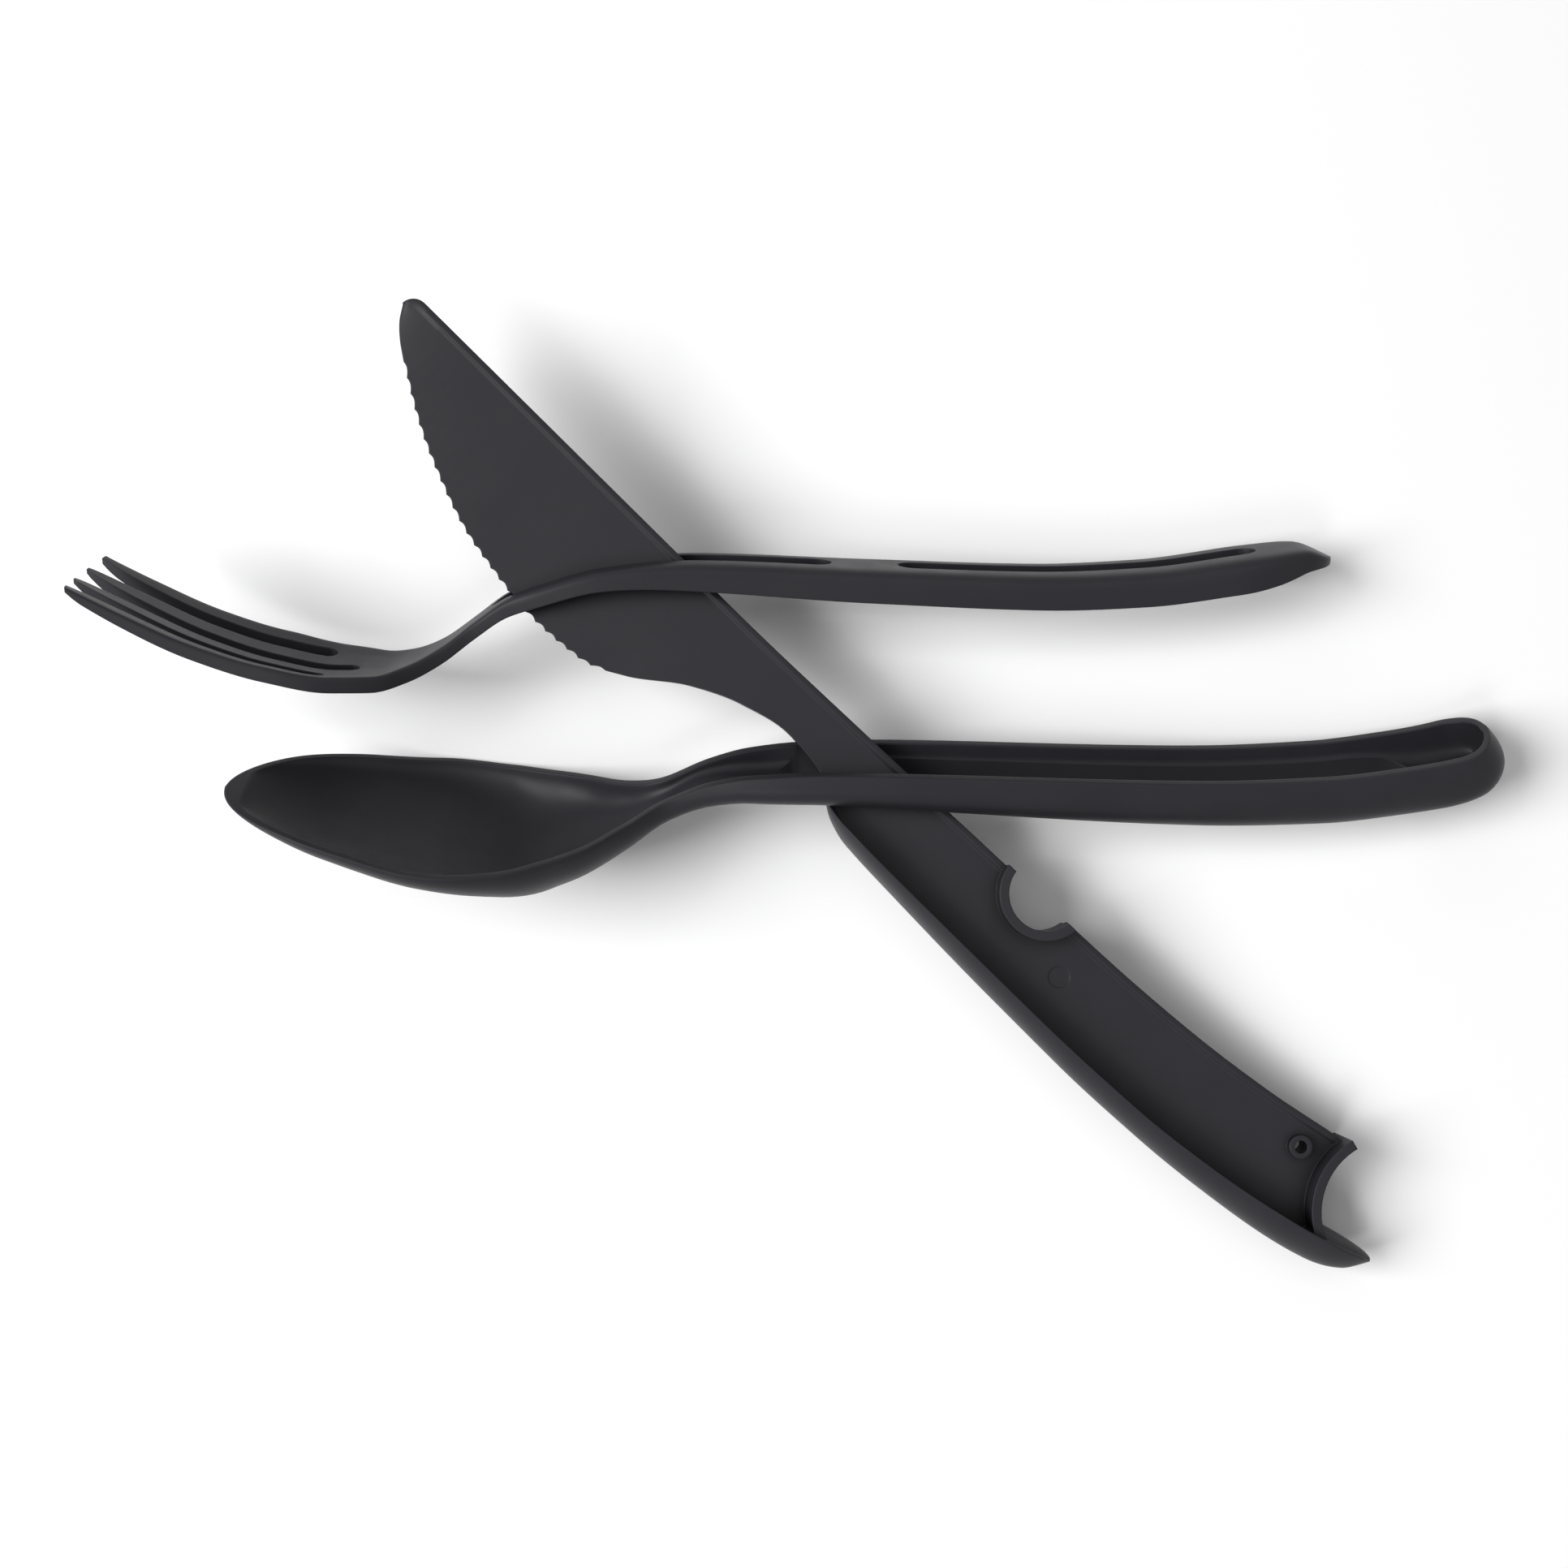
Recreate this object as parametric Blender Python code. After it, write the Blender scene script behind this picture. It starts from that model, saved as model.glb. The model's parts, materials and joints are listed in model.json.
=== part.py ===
"""Travel cutlery set: a fork, a knife and a spoon, each moulded in one piece, laid down interlocked.

The knife passes through the long slots in the handles of the fork and of the spoon. Those two stand on
their side edges and lean on it. Units are metres, +Z is up and the floor that the set lies on is Z = 0.
In each piece's own frame X runs from the working end to the end of the handle, Y lies across it and Z
points out of the bowl, out of the top of the fork's handle, or out of the side of the knife's web.
"""

import math

import bmesh
import bpy
import numpy as np
from mathutils import Matrix, Vector

MM = 0.001
COLLECTION = "plastic_cutlery_pack"

# Spoon
SPOON_LENGTH = 192.6 * MM
BOWL_LENGTH = 65.1 * MM
BOWL_WIDTH = 38.4 * MM
BOWL_WIDEST = 32.0 * MM
BOWL_DEPTH = 9.8 * MM
BOWL_WALL = 1.4 * MM
SPOON_NECK_WIDTH = 8.8 * MM
SPOON_HANDLE_WIDTH = 13.4 * MM
SPOON_HANDLE_WALL = 1.6 * MM
SPOON_TROUGH_DEPTH = 3.3 * MM
SPOON_SLOT_START = BOWL_LENGTH + 15.5 * MM
SPOON_SLOT_END = SPOON_LENGTH - 14.0 * MM
SPOON_SLOT_WIDTH = 9.4 * MM
SPOON_SLOT_ROUND = 5.0 * MM
SPOON_END_LEAN = 5.3 * MM
SPOON_LEAN_RUN = 20 * MM
SPOON_LEAN_DROP = 9 * MM

# Fork
FORK_LENGTH = 187.6 * MM
FORK_DRAWN_LENGTH = 187.6 * MM
FORK_HEAD_WIDTH = 22.9 * MM
TINE_LENGTH = 40.3 * MM
TINE_WIDTH = 3.4 * MM
TINE_COUNT = 4
TINE_POINT_LENGTH = 14.0 * MM
TINE_POINT_WIDTH = 0.9 * MM
TINE_SPREAD = 0.8 * MM
TINE_ROOT_STEP = 4.3 * MM
TIP_ARC = 0.9 * MM
HEAD_THICKNESS = 2.7 * MM
HEAD_DISH = 2.0 * MM
FORK_NECK_WIDTH = 6.2 * MM
FORK_HANDLE_WIDTH = 10.9 * MM
FORK_WALL = 1.8 * MM
FORK_SLOT_START = 60.5 * MM
FORK_BRIDGE_START = 111.5 * MM
FORK_BRIDGE_LENGTH = 10.0 * MM
FORK_SLOT_END = FORK_LENGTH - 11.6 * MM
FORK_SLOT_TAPER = 12.0 * MM
FORK_SLOT_ROUND = 2.6 * MM

# Knife
KNIFE_LENGTH = 202.8 * MM
KNIFE_DRAWN_LENGTH = 202.8 * MM
BLADE_BELLY = 17.6 * MM
SPINE_HEIGHT = 4.65 * MM
WEB_THICKNESS = 1.8 * MM
EDGE_THICKNESS = 0.5 * MM
NECK_DROP = 2.8 * MM
TOOTHED_LENGTH = 60.0 * MM
TOOTH_PITCH = 2.1 * MM
TOOTH_DEPTH = 0.36 * MM
RIB_WIDTH = 0.9 * MM
RIB_HEIGHT = 0.3 * MM
CAP_START = 97.8 * MM
CAP_HALF_DEPTH = 6.5 * MM
CAP_WALL = 1.4 * MM
NOSE_LENGTH = 10.5 * MM
NOSE_CROWN = 1.8 * MM
NOTCH_RADIUS = 5.5 * MM
NOTCH_PLACE = 130.7 * MM
INNER_WALL_REACH = 5.0 * MM
INNER_WALL = 1.4 * MM
END_RADIUS = 10.8 * MM
END_CENTRE = (KNIFE_LENGTH - 3.6 * MM, 9.6 * MM)
BOSS_CENTRE = (KNIFE_LENGTH - 19.4 * MM, 7.0 * MM)
BOSS_RADIUS = 1.7 * MM
BOSS_BORE = 0.95 * MM
BOSS_REACH = 1.6 * MM
MARK_CENTRE = (141.0 * MM, -0.2 * MM)
MARK_RADIUS = 1.6 * MM
MARK_DEPTH = 0.12 * MM

# How the three lie together
CLEARANCE = 0.3 * MM
SPOON_TURN = (math.radians(-63.0), math.radians(3.2), 0.0)
FORK_TURN = (math.radians(-72.0), math.radians(3.0), 0.0)
KNIFE_TURN = (math.radians(-2.0), math.radians(-2.0), math.radians(-44.8))
SPOON_CROSSING = SPOON_SLOT_START + 11.85 * MM
FORK_CROSSING = FORK_SLOT_START + 16.4 * MM
KNIFE_CROSSING = CAP_START - 0.05 * MM
KNIFE_PLACE = (10.2 * MM, 1.95 * MM)
SPOON_PLACE = (10.2 * MM, 2.25 * MM)
FORK_PLACE = (-27.4 * MM, 30.85 * MM)
SPOON_SHIFT = -1.1 * MM
FORK_SHIFT = 0.15 * MM

PLASTIC = (0.045, 0.045, 0.050, 1.0)
PLASTIC_ROUGHNESS = 0.42


def clear_scene():
    for obj in list(bpy.data.objects):
        bpy.data.objects.remove(obj)


def smooth_curve(knots):
    """A smooth curve through (x, value) knots that never overshoots them, as a function of x."""
    xs, ys = (np.array(column, float) for column in zip(*knots))
    steps = np.diff(xs)
    slopes = np.diff(ys) / steps
    tangents = np.zeros_like(ys)
    tangents[0] = slopes[0]
    tangents[-1] = slopes[-1]
    for i in range(1, len(xs) - 1):
        if slopes[i - 1] * slopes[i] > 0:
            before = 2 * steps[i] + steps[i - 1]
            after = steps[i] + 2 * steps[i - 1]
            tangents[i] = (before + after) / (before / slopes[i - 1] + after / slopes[i])

    def curve(x):
        x = min(max(x, xs[0]), xs[-1])
        i = min(max(int(np.searchsorted(xs, x)) - 1, 0), len(steps) - 1)
        t = (x - xs[i]) / steps[i]
        start = ys[i] * (1 + 2 * t) * (1 - t) ** 2 + tangents[i] * steps[i] * t * (1 - t) ** 2
        end = ys[i + 1] * (3 - 2 * t) * t**2 - tangents[i + 1] * steps[i] * t**2 * (1 - t)
        return float(start + end)

    return curve


def stretched(start, drawn_end, end):
    """Carries a place beyond start over from a handle drawn to one end to one that ends elsewhere."""
    scale = (end - start) / (drawn_end - start)
    return lambda place: place + (scale - 1) * max(place - start, 0.0)


def round_off(distance, length):
    """Rises from 0 to 1 like a quarter ellipse over the given length."""
    t = min(max(distance / length, 0.0), 1.0)
    return math.sqrt(1 - (1 - t) ** 2)


def stations(start, end, start_round, end_round, middle, turns):
    """Places along a piece, closer together over its rounded ends."""
    quarter = [1 - math.cos(0.5 * math.pi * i / turns) for i in range(turns + 1)]
    first = [start + start_round * q for q in quarter]
    last = [end - end_round * q for q in reversed(quarter)]
    body = list(np.linspace(first[-1], last[0], middle)[1:-1])
    return [float(s) for s in first + body + last]


def arc(centre, radius, first_deg, last_deg, steps):
    turns = [math.radians(first_deg + (last_deg - first_deg) * i / steps) for i in range(steps + 1)]
    return [(centre[0] + radius * math.cos(a), centre[1] + radius * math.sin(a)) for a in turns]


def new_collection(name, parent):
    collection = bpy.data.collections.new(name)
    parent.children.link(collection)
    return collection


def mesh_object(name, bm, collection):
    bmesh.ops.remove_doubles(bm, verts=bm.verts, dist=0.01 * MM)
    bmesh.ops.recalc_face_normals(bm, faces=bm.faces)
    mesh = bpy.data.meshes.new(name)
    bm.to_mesh(mesh)
    bm.free()
    obj = bpy.data.objects.new(name, mesh)
    collection.objects.link(obj)
    return obj


def helper_object(name, bm, collection):
    """A shape that only cuts or joins, kept out of a render."""
    obj = mesh_object(name, bm, collection)
    obj.hide_render = True
    obj.display_type = "WIRE"
    return obj


def prism(name, outline, low, high, collection):
    """A flat outline in XY, extruded from low to high."""
    bm = bmesh.new()
    face = bm.faces.new([bm.verts.new((x, y, low)) for x, y in outline])
    extruded = bmesh.ops.extrude_face_region(bm, geom=[face])
    top = [item for item in extruded["geom"] if isinstance(item, bmesh.types.BMVert)]
    bmesh.ops.translate(bm, verts=top, vec=(0, 0, high - low))
    return helper_object(name, bm, collection)


def cylinder(name, centre, radius, low, high, sides, collection):
    return prism(name, arc(centre, radius, 0, 360, sides)[:-1], low, high, collection)


def combine(obj, other, operation):
    """Cuts or joins with a helper that moves along with the object."""
    modifier = obj.modifiers.new(other.name, "BOOLEAN")
    modifier.operation = operation
    modifier.object = other
    modifier.solver = "EXACT"
    other.parent = obj


def slot_outline(start, end, half_width, start_round, end_round):
    """A long slot along X whose two ends are half ellipses."""
    turns = [0.5 * math.pi + math.pi * i / 12 for i in range(13)]
    left = [(start + start_round * (1 + math.cos(a)), half_width * math.sin(a)) for a in turns]
    right = [(end - end_round * (1 + math.cos(a)), -half_width * math.sin(a)) for a in turns]
    return left + right


def add_rings(bm, rows):
    """Quads between successive closed rings, and a face over each end."""
    rings = [[bm.verts.new(point) for point in row] for row in rows]
    count = len(rings[0])
    for first, second in zip(rings, rings[1:]):
        for j in range(count):
            k = (j + 1) % count
            bm.faces.new((first[j], first[k], second[k], second[j]))
    bm.faces.new(rings[0])
    bm.faces.new(rings[-1])


def add_shell(bm, outer_rows, inner_rows, open_start=False):
    """A closed body between two open surfaces with as many points each, joined along their edges.

    Both close to a point at their ends, unless the start is left open, which gets an end face.
    """
    outer = [[bm.verts.new(point) for point in row] for row in outer_rows]
    inner = [[bm.verts.new(point) for point in row] for row in inner_rows]
    around = range(len(outer[0]) - 1)
    for grid in (outer, inner):
        for first, second in zip(grid, grid[1:]):
            for j in around:
                bm.faces.new((first[j], second[j], second[j + 1], first[j + 1]))
    for side in (0, -1):
        for i in range(len(outer) - 1):
            bm.faces.new(
                (outer[i][side], outer[i + 1][side], inner[i + 1][side], inner[i][side])
            )
    if open_start:
        for j in around:
            bm.faces.new((outer[0][j], outer[0][j + 1], inner[0][j + 1], inner[0][j]))


def superellipse(s, half, depth, base, squareness, points, bow):
    """A section across Y whose two edges are at height base and whose middle is depth beyond them."""
    power = 1 / (1 + 2 * squareness)
    middle = (points - 1) // 2
    row = []
    for j in range(points):
        c = math.cos(math.pi * j / (points - 1))
        share = 0.0 if j == middle else math.copysign(abs(c) ** power, c)
        lift = 0.0 if j in (0, points - 1) else math.sqrt(1 - c * c) ** power
        row.append((s, half * share, base + depth * lift + bow * (half * share) ** 2))
    return row


def inset(outline, s, wall):
    """The point at one wall's thickness inside the outline y = outline(s), as (s, y)."""
    step = 0.2 * MM
    slope = (outline(s + step) - outline(s - step)) / (2 * step)
    length = math.hypot(1, slope)
    return s + wall * slope / length, max(outline(s) - wall / length, 0.0)


def channel(name, shape, along, points, collection, open_start=False):
    """A trough or an arch along X, as one shell whose side walls follow its outline."""
    outer = []
    inner = []
    last = len(along) - 1
    for i, s in enumerate(along):
        wall = shape["wall"](s)
        half = shape["half"](s)
        depth = shape["depth"](s)
        s_in, half_in = inset(shape["half"], s, wall)
        depth_in = shape["trough"](s)
        if i == last or (i == 0 and not open_start):
            s_in = s - wall if i else s + wall
            half = half_in = depth = depth_in = 0.0
        for rows, place, y, z in ((outer, s, half, depth), (inner, s_in, half_in, depth_in)):
            height = shape["height"](place)
            square = shape["square"](s)
            row = superellipse(place, y, z, height, square, points, shape["bow"](place))
            rows.append([(p[0] - shape["lean"](p[0], height - p[2]), p[1], p[2]) for p in row])
    bm = bmesh.new()
    add_shell(bm, outer, inner, open_start)
    return mesh_object(name, bm, collection)


def plastic_material(name):
    material = bpy.data.materials.new(name)
    material.use_nodes = True
    shader = material.node_tree.nodes["Principled BSDF"]
    shader.inputs["Base Color"].default_value = PLASTIC
    shader.inputs["Roughness"].default_value = PLASTIC_ROUGHNESS
    return material


def finish(obj, material):
    obj.data.materials.append(material)
    obj.data.shade_smooth()
    obj.data.set_sharp_from_angle(angle=math.radians(32.0))
    return obj


def build_spoon(collection, cutters):
    """An oval bowl that runs through a neck into an open channel with a long slot in its floor."""
    neck = BOWL_LENGTH
    end = SPOON_LENGTH
    widest = BOWL_WIDTH / 2
    handle = SPOON_HANDLE_WIDTH / 2
    taper = neck - BOWL_WIDEST
    height = smooth_curve(
        [
            (0, -2.4 * MM),
            (0.12 * neck, -3.15 * MM),
            (0.25 * neck, -4.6 * MM),
            (0.45 * neck, -6.9 * MM),
            (0.62 * neck, -7.5 * MM),
            (0.80 * neck, -6.6 * MM),
            (0.90 * neck, -5.2 * MM),
            (neck, -2.6 * MM),
            (neck + 6 * MM, 0.05 * MM),
            (neck + 12 * MM, 1.5 * MM),
            (neck + 25 * MM, 2.4 * MM),
            (end - 48 * MM, 1.3 * MM),
            (end - 30 * MM, 2.05 * MM),
            (end - 18 * MM, 3.7 * MM),
            (end - 6 * MM, 6.0 * MM),
            (end, 7.8 * MM),
        ]
    )
    width = smooth_curve(
        [
            (0, 0.70 * widest),
            (0.5 * BOWL_WIDEST, 0.83 * widest),
            (BOWL_WIDEST, widest),
            (BOWL_WIDEST + 0.27 * taper, 0.925 * widest),
            (BOWL_WIDEST + 0.45 * taper, 0.80 * widest),
            (BOWL_WIDEST + 0.63 * taper, 0.64 * widest),
            (BOWL_WIDEST + 0.81 * taper, 0.40 * widest),
            (neck, SPOON_NECK_WIDTH / 2),
            (neck + 17 * MM, 0.89 * handle),
            (neck + 35 * MM, 0.98 * handle),
            (neck + 60 * MM, handle),
            (end - 25 * MM, 1.03 * handle),
            (end, 1.05 * handle),
        ]
    )
    deep = smooth_curve(
        [
            (0, 0.24 * BOWL_DEPTH),
            (0.15 * neck, 0.44 * BOWL_DEPTH),
            (0.30 * neck, 0.59 * BOWL_DEPTH),
            (0.45 * neck, 0.70 * BOWL_DEPTH),
            (0.58 * neck, 0.87 * BOWL_DEPTH),
            (0.70 * neck, BOWL_DEPTH),
            (0.85 * neck, 0.71 * BOWL_DEPTH),
            (neck + 2 * MM, 4.2 * MM),
            (neck + 20 * MM, 5.6 * MM),
            (end - 40 * MM, 8.3 * MM),
            (end - 12 * MM, 8.8 * MM),
            (end, 7.0 * MM),
        ]
    )
    wall = smooth_curve([(neck - 10 * MM, BOWL_WALL), (neck + 10 * MM, SPOON_HANDLE_WALL)])
    floor = smooth_curve(
        [
            (neck - 16 * MM, BOWL_DEPTH),
            (neck + 4 * MM, 1.7 * MM),
            (neck + 16 * MM, SPOON_TROUGH_DEPTH),
            (end - 25 * MM, SPOON_TROUGH_DEPTH),
            (end - 12 * MM, 5.2 * MM),
            (end, 5.4 * MM),
        ]
    )

    def outer_depth(s):
        return deep(s) * round_off(s, 14 * MM) * round_off(end - s, 6 * MM)

    def lean(s, below):
        """How far the end wall slopes inwards at its rim, which leaves the wall bulging below it."""
        start = max(1 - (end - s) / SPOON_LEAN_RUN, 0.0)
        share = min(max(below / SPOON_LEAN_DROP, 0.0), 1.0)
        return SPOON_END_LEAN * (start * (1 - share)) ** 2

    shape = {
        "half": lambda s: width(s) * round_off(s, 20 * MM) * round_off(end - s, 9 * MM),
        "height": height,
        "depth": lambda s: -outer_depth(s),
        "trough": lambda s: -min(floor(s), max(outer_depth(s) - wall(s), 0.0)),
        "wall": wall,
        "square": smooth_curve([(neck - 16 * MM, 0), (neck + 12 * MM, 0.6)]),
        "bow": lambda s: 0.0,
        "lean": lean,
    }
    along = stations(0, end, 16 * MM, 14 * MM, 42, 8)
    spoon = channel("spoon", shape, along, 17, collection)
    slot = slot_outline(
        SPOON_SLOT_START, SPOON_SLOT_END, SPOON_SLOT_WIDTH / 2, SPOON_SLOT_ROUND, SPOON_SLOT_ROUND
    )
    combine(spoon, prism("spoon_slot", slot, -30 * MM, 30 * MM, cutters), "DIFFERENCE")
    return spoon


def gap_outline(middle, mouth_low, mouth_high, gap, root):
    """The space between two tines: parallel sides, a round root and a mouth that widens to the tips."""
    steps = 8
    low = []
    high = []
    for i in range(steps + 1):
        t = i / steps
        opening = 1 - round_off(t, 1.0)
        s = TINE_POINT_LENGTH * t
        low.append((s, middle - gap / 2 + (mouth_low - middle + gap / 2) * opening))
        high.append((s, middle + gap / 2 + (mouth_high - middle - gap / 2) * opening))
    end = arc((root - gap / 2, middle), gap / 2, -90, 90, 10)
    start = -1 * MM
    return [(start, mouth_low)] + low + end + high[::-1] + [(start, mouth_high)]


def cut_tines(fork, cutters):
    pitch = (FORK_HEAD_WIDTH - TINE_WIDTH) / (TINE_COUNT - 1)
    tip_pitch = pitch + 2 * TINE_SPREAD / (TINE_COUNT - 1)
    mouth = tip_pitch - TINE_POINT_WIDTH
    for i in range(TINE_COUNT - 1):
        place = i - (TINE_COUNT - 2) / 2
        low = place * tip_pitch - mouth / 2
        root = TINE_LENGTH - abs(place) * TINE_ROOT_STEP
        points = gap_outline(place * pitch, low, low + mouth, pitch - TINE_WIDTH, root)
        cutter = prism(f"tine_gap_{i + 1}", points, -30 * MM, 30 * MM, cutters)
        combine(fork, cutter, "DIFFERENCE")
    edge = 0.6 * FORK_HEAD_WIDTH
    arc_points = [(4 * TIP_ARC * (y / FORK_HEAD_WIDTH) ** 2, y) for y in np.linspace(-edge, edge, 13)]
    beyond = [(-2 * MM, edge), (-2 * MM, -edge)]
    cutter = prism("tip_arc", arc_points + beyond, -30 * MM, 30 * MM, cutters)
    combine(fork, cutter, "DIFFERENCE")


def turned(turn):
    rx, ry, rz = (Matrix.Rotation(angle, 3, axis) for angle, axis in zip(turn, "XYZ"))
    return rz @ ry @ rx


def fork_slot_width():
    """Room for the knife's ribbed spine where it passes at a slant through the top of the fork."""
    web_normal = turned(KNIFE_TURN).col[2]
    fork = turned(FORK_TURN)
    across, up = (abs(web_normal.dot(fork.col[i])) for i in (1, 2))
    return (WEB_THICKNESS + 2 * RIB_HEIGHT + 3 * CLEARANCE + up * FORK_WALL) / across


def cut_fork_slots(fork, cutters):
    bridge_end = FORK_BRIDGE_START + FORK_BRIDGE_LENGTH
    spans = (
        (FORK_SLOT_START, FORK_BRIDGE_START, FORK_SLOT_TAPER),
        (bridge_end, FORK_SLOT_END, FORK_SLOT_ROUND),
    )
    for i, (first, last, start_round) in enumerate(spans):
        points = slot_outline(first, last, fork_slot_width() / 2, start_round, FORK_SLOT_ROUND)
        cutter = prism(f"fork_slot_{i + 1}", points, -30 * MM, 30 * MM, cutters)
        combine(fork, cutter, "DIFFERENCE")


def build_fork(collection, cutters):
    """A slightly dished four-tined head, a thin neck and an arched handle with two long slots."""
    end = FORK_LENGTH
    head = FORK_HEAD_WIDTH / 2
    handle = FORK_HANDLE_WIDTH / 2
    at = stretched(91 * MM, FORK_DRAWN_LENGTH, end)
    top = smooth_curve(
        [
            (0, 0.15 * MM),
            (3 * MM, -1.45 * MM),
            (8 * MM, -4.15 * MM),
            (18 * MM, -9.1 * MM),
            (28 * MM, -12.5 * MM),
            (37 * MM, -14.1 * MM),
            (43 * MM, -14.05 * MM),
            (48 * MM, -12.5 * MM),
            (53 * MM, -9.9 * MM),
            (58 * MM, -6.2 * MM),
            (63 * MM, -2.6 * MM),
            (68 * MM, -0.6 * MM),
            (77 * MM, 2.0 * MM),
            (91 * MM, 3.25 * MM),
            (at(116.6 * MM), 2.45 * MM),
            (end - 44 * MM, 1.8 * MM),
            (end - 29 * MM, 2.5 * MM),
            (end - 12 * MM, 4.9 * MM),
            (end - 5 * MM, 5.65 * MM),
            (end, 4.0 * MM),
        ]
    )
    thick = smooth_curve(
        [
            (0, 0.6 * MM),
            (3 * MM, 0.65 * HEAD_THICKNESS),
            (15 * MM, 0.95 * HEAD_THICKNESS),
            (TINE_LENGTH, HEAD_THICKNESS),
            (58 * MM, 0.96 * HEAD_THICKNESS),
            (67 * MM, 2.9 * MM),
            (78 * MM, 3.1 * MM),
            (91 * MM, 4.1 * MM),
            (121 * MM, 4.9 * MM),
            (end - 15 * MM, 5.2 * MM),
            (end - 9 * MM, 4.6 * MM),
            (end - 4 * MM, 3.0 * MM),
            (end, 1.0 * MM),
        ]
    )
    width = smooth_curve(
        [
            (0, 0.985 * head),
            (13 * MM, head),
            (28 * MM, head),
            (34 * MM, 0.96 * head),
            (39 * MM, 0.865 * head),
            (44 * MM, 0.715 * head),
            (48.5 * MM, 0.505 * head),
            (53 * MM, 0.34 * head),
            (57.5 * MM, FORK_NECK_WIDTH / 2),
            (62 * MM, 0.64 * handle),
            (68 * MM, 0.83 * handle),
            (77 * MM, 0.965 * handle),
            (89 * MM, handle),
            (end, 1.25 * handle),
        ]
    )
    top_wall = smooth_curve([(61 * MM, 3.0 * MM), (67 * MM, FORK_WALL)])
    dish = HEAD_DISH / head**2
    bow = smooth_curve([(0, 0.6 * dish), (35 * MM, dish), (43 * MM, dish), (54 * MM, 0)])
    shape = {
        "half": lambda s: width(s) * round_off(end - s, 15 * MM),
        "height": lambda s: top(s) - thick(s),
        "depth": thick,
        "trough": lambda s: max(thick(s) - top_wall(s), 0.0),
        "wall": lambda s: FORK_WALL,
        "square": smooth_curve([(51 * MM, 2), (67 * MM, 1)]),
        "bow": bow,
        "lean": lambda s, below: 0.0,
    }
    along = stations(0, end, 2 * MM, 14 * MM, 52, 7)
    fork = channel("fork", shape, along, 13, collection, open_start=True)
    cut_tines(fork, cutters)
    cut_fork_slots(fork, cutters)
    return fork


def spine_line():
    """Height of the knife's spine over its own X axis."""
    at = stretched(CAP_START, KNIFE_DRAWN_LENGTH, KNIFE_LENGTH)
    return smooth_curve(
        [
            (0, SPINE_HEIGHT),
            (68 * MM, SPINE_HEIGHT),
            (96 * MM, 5.25 * MM),
            (at(125 * MM), 6.1 * MM),
            (at(145 * MM), 6.75 * MM),
            (at(160 * MM), 7.8 * MM),
            (at(174 * MM), 9.6 * MM),
            (KNIFE_LENGTH - 16 * MM, 12.1 * MM),
            (KNIFE_LENGTH, 15.0 * MM),
        ]
    )


def cap_back_line():
    """The line along the outside of the cap that closes the knife's handle below."""
    at = stretched(CAP_START, KNIFE_DRAWN_LENGTH, KNIFE_LENGTH)
    return smooth_curve(
        [
            (CAP_START, -5.9 * MM),
            (CAP_START + 3 * MM, -7.6 * MM),
            (CAP_START + 7 * MM, -8.6 * MM),
            (at(115 * MM), -9.05 * MM),
            (at(135 * MM), -9.5 * MM),
            (at(150 * MM), -9.55 * MM),
            (at(166 * MM), -8.9 * MM),
            (at(181 * MM), -7.3 * MM),
            (KNIFE_LENGTH - 7.3 * MM, -4.2 * MM),
            (KNIFE_LENGTH - 2.4 * MM, -1.4 * MM),
            (KNIFE_LENGTH, 2.4 * MM),
        ]
    )


def cap_rim_line():
    """The line along both rims of that cap."""
    at = stretched(CAP_START, KNIFE_DRAWN_LENGTH, KNIFE_LENGTH)
    return smooth_curve(
        [
            (CAP_START, -5.9 * MM),
            (CAP_START + 5 * MM, -6.8 * MM),
            (at(113 * MM), -7.0 * MM),
            (at(143 * MM), -6.85 * MM),
            (at(162 * MM), -6.1 * MM),
            (at(175 * MM), -4.6 * MM),
            (KNIFE_LENGTH - 12 * MM, -1.4 * MM),
            (KNIFE_LENGTH, 2.4 * MM),
        ]
    )


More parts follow.
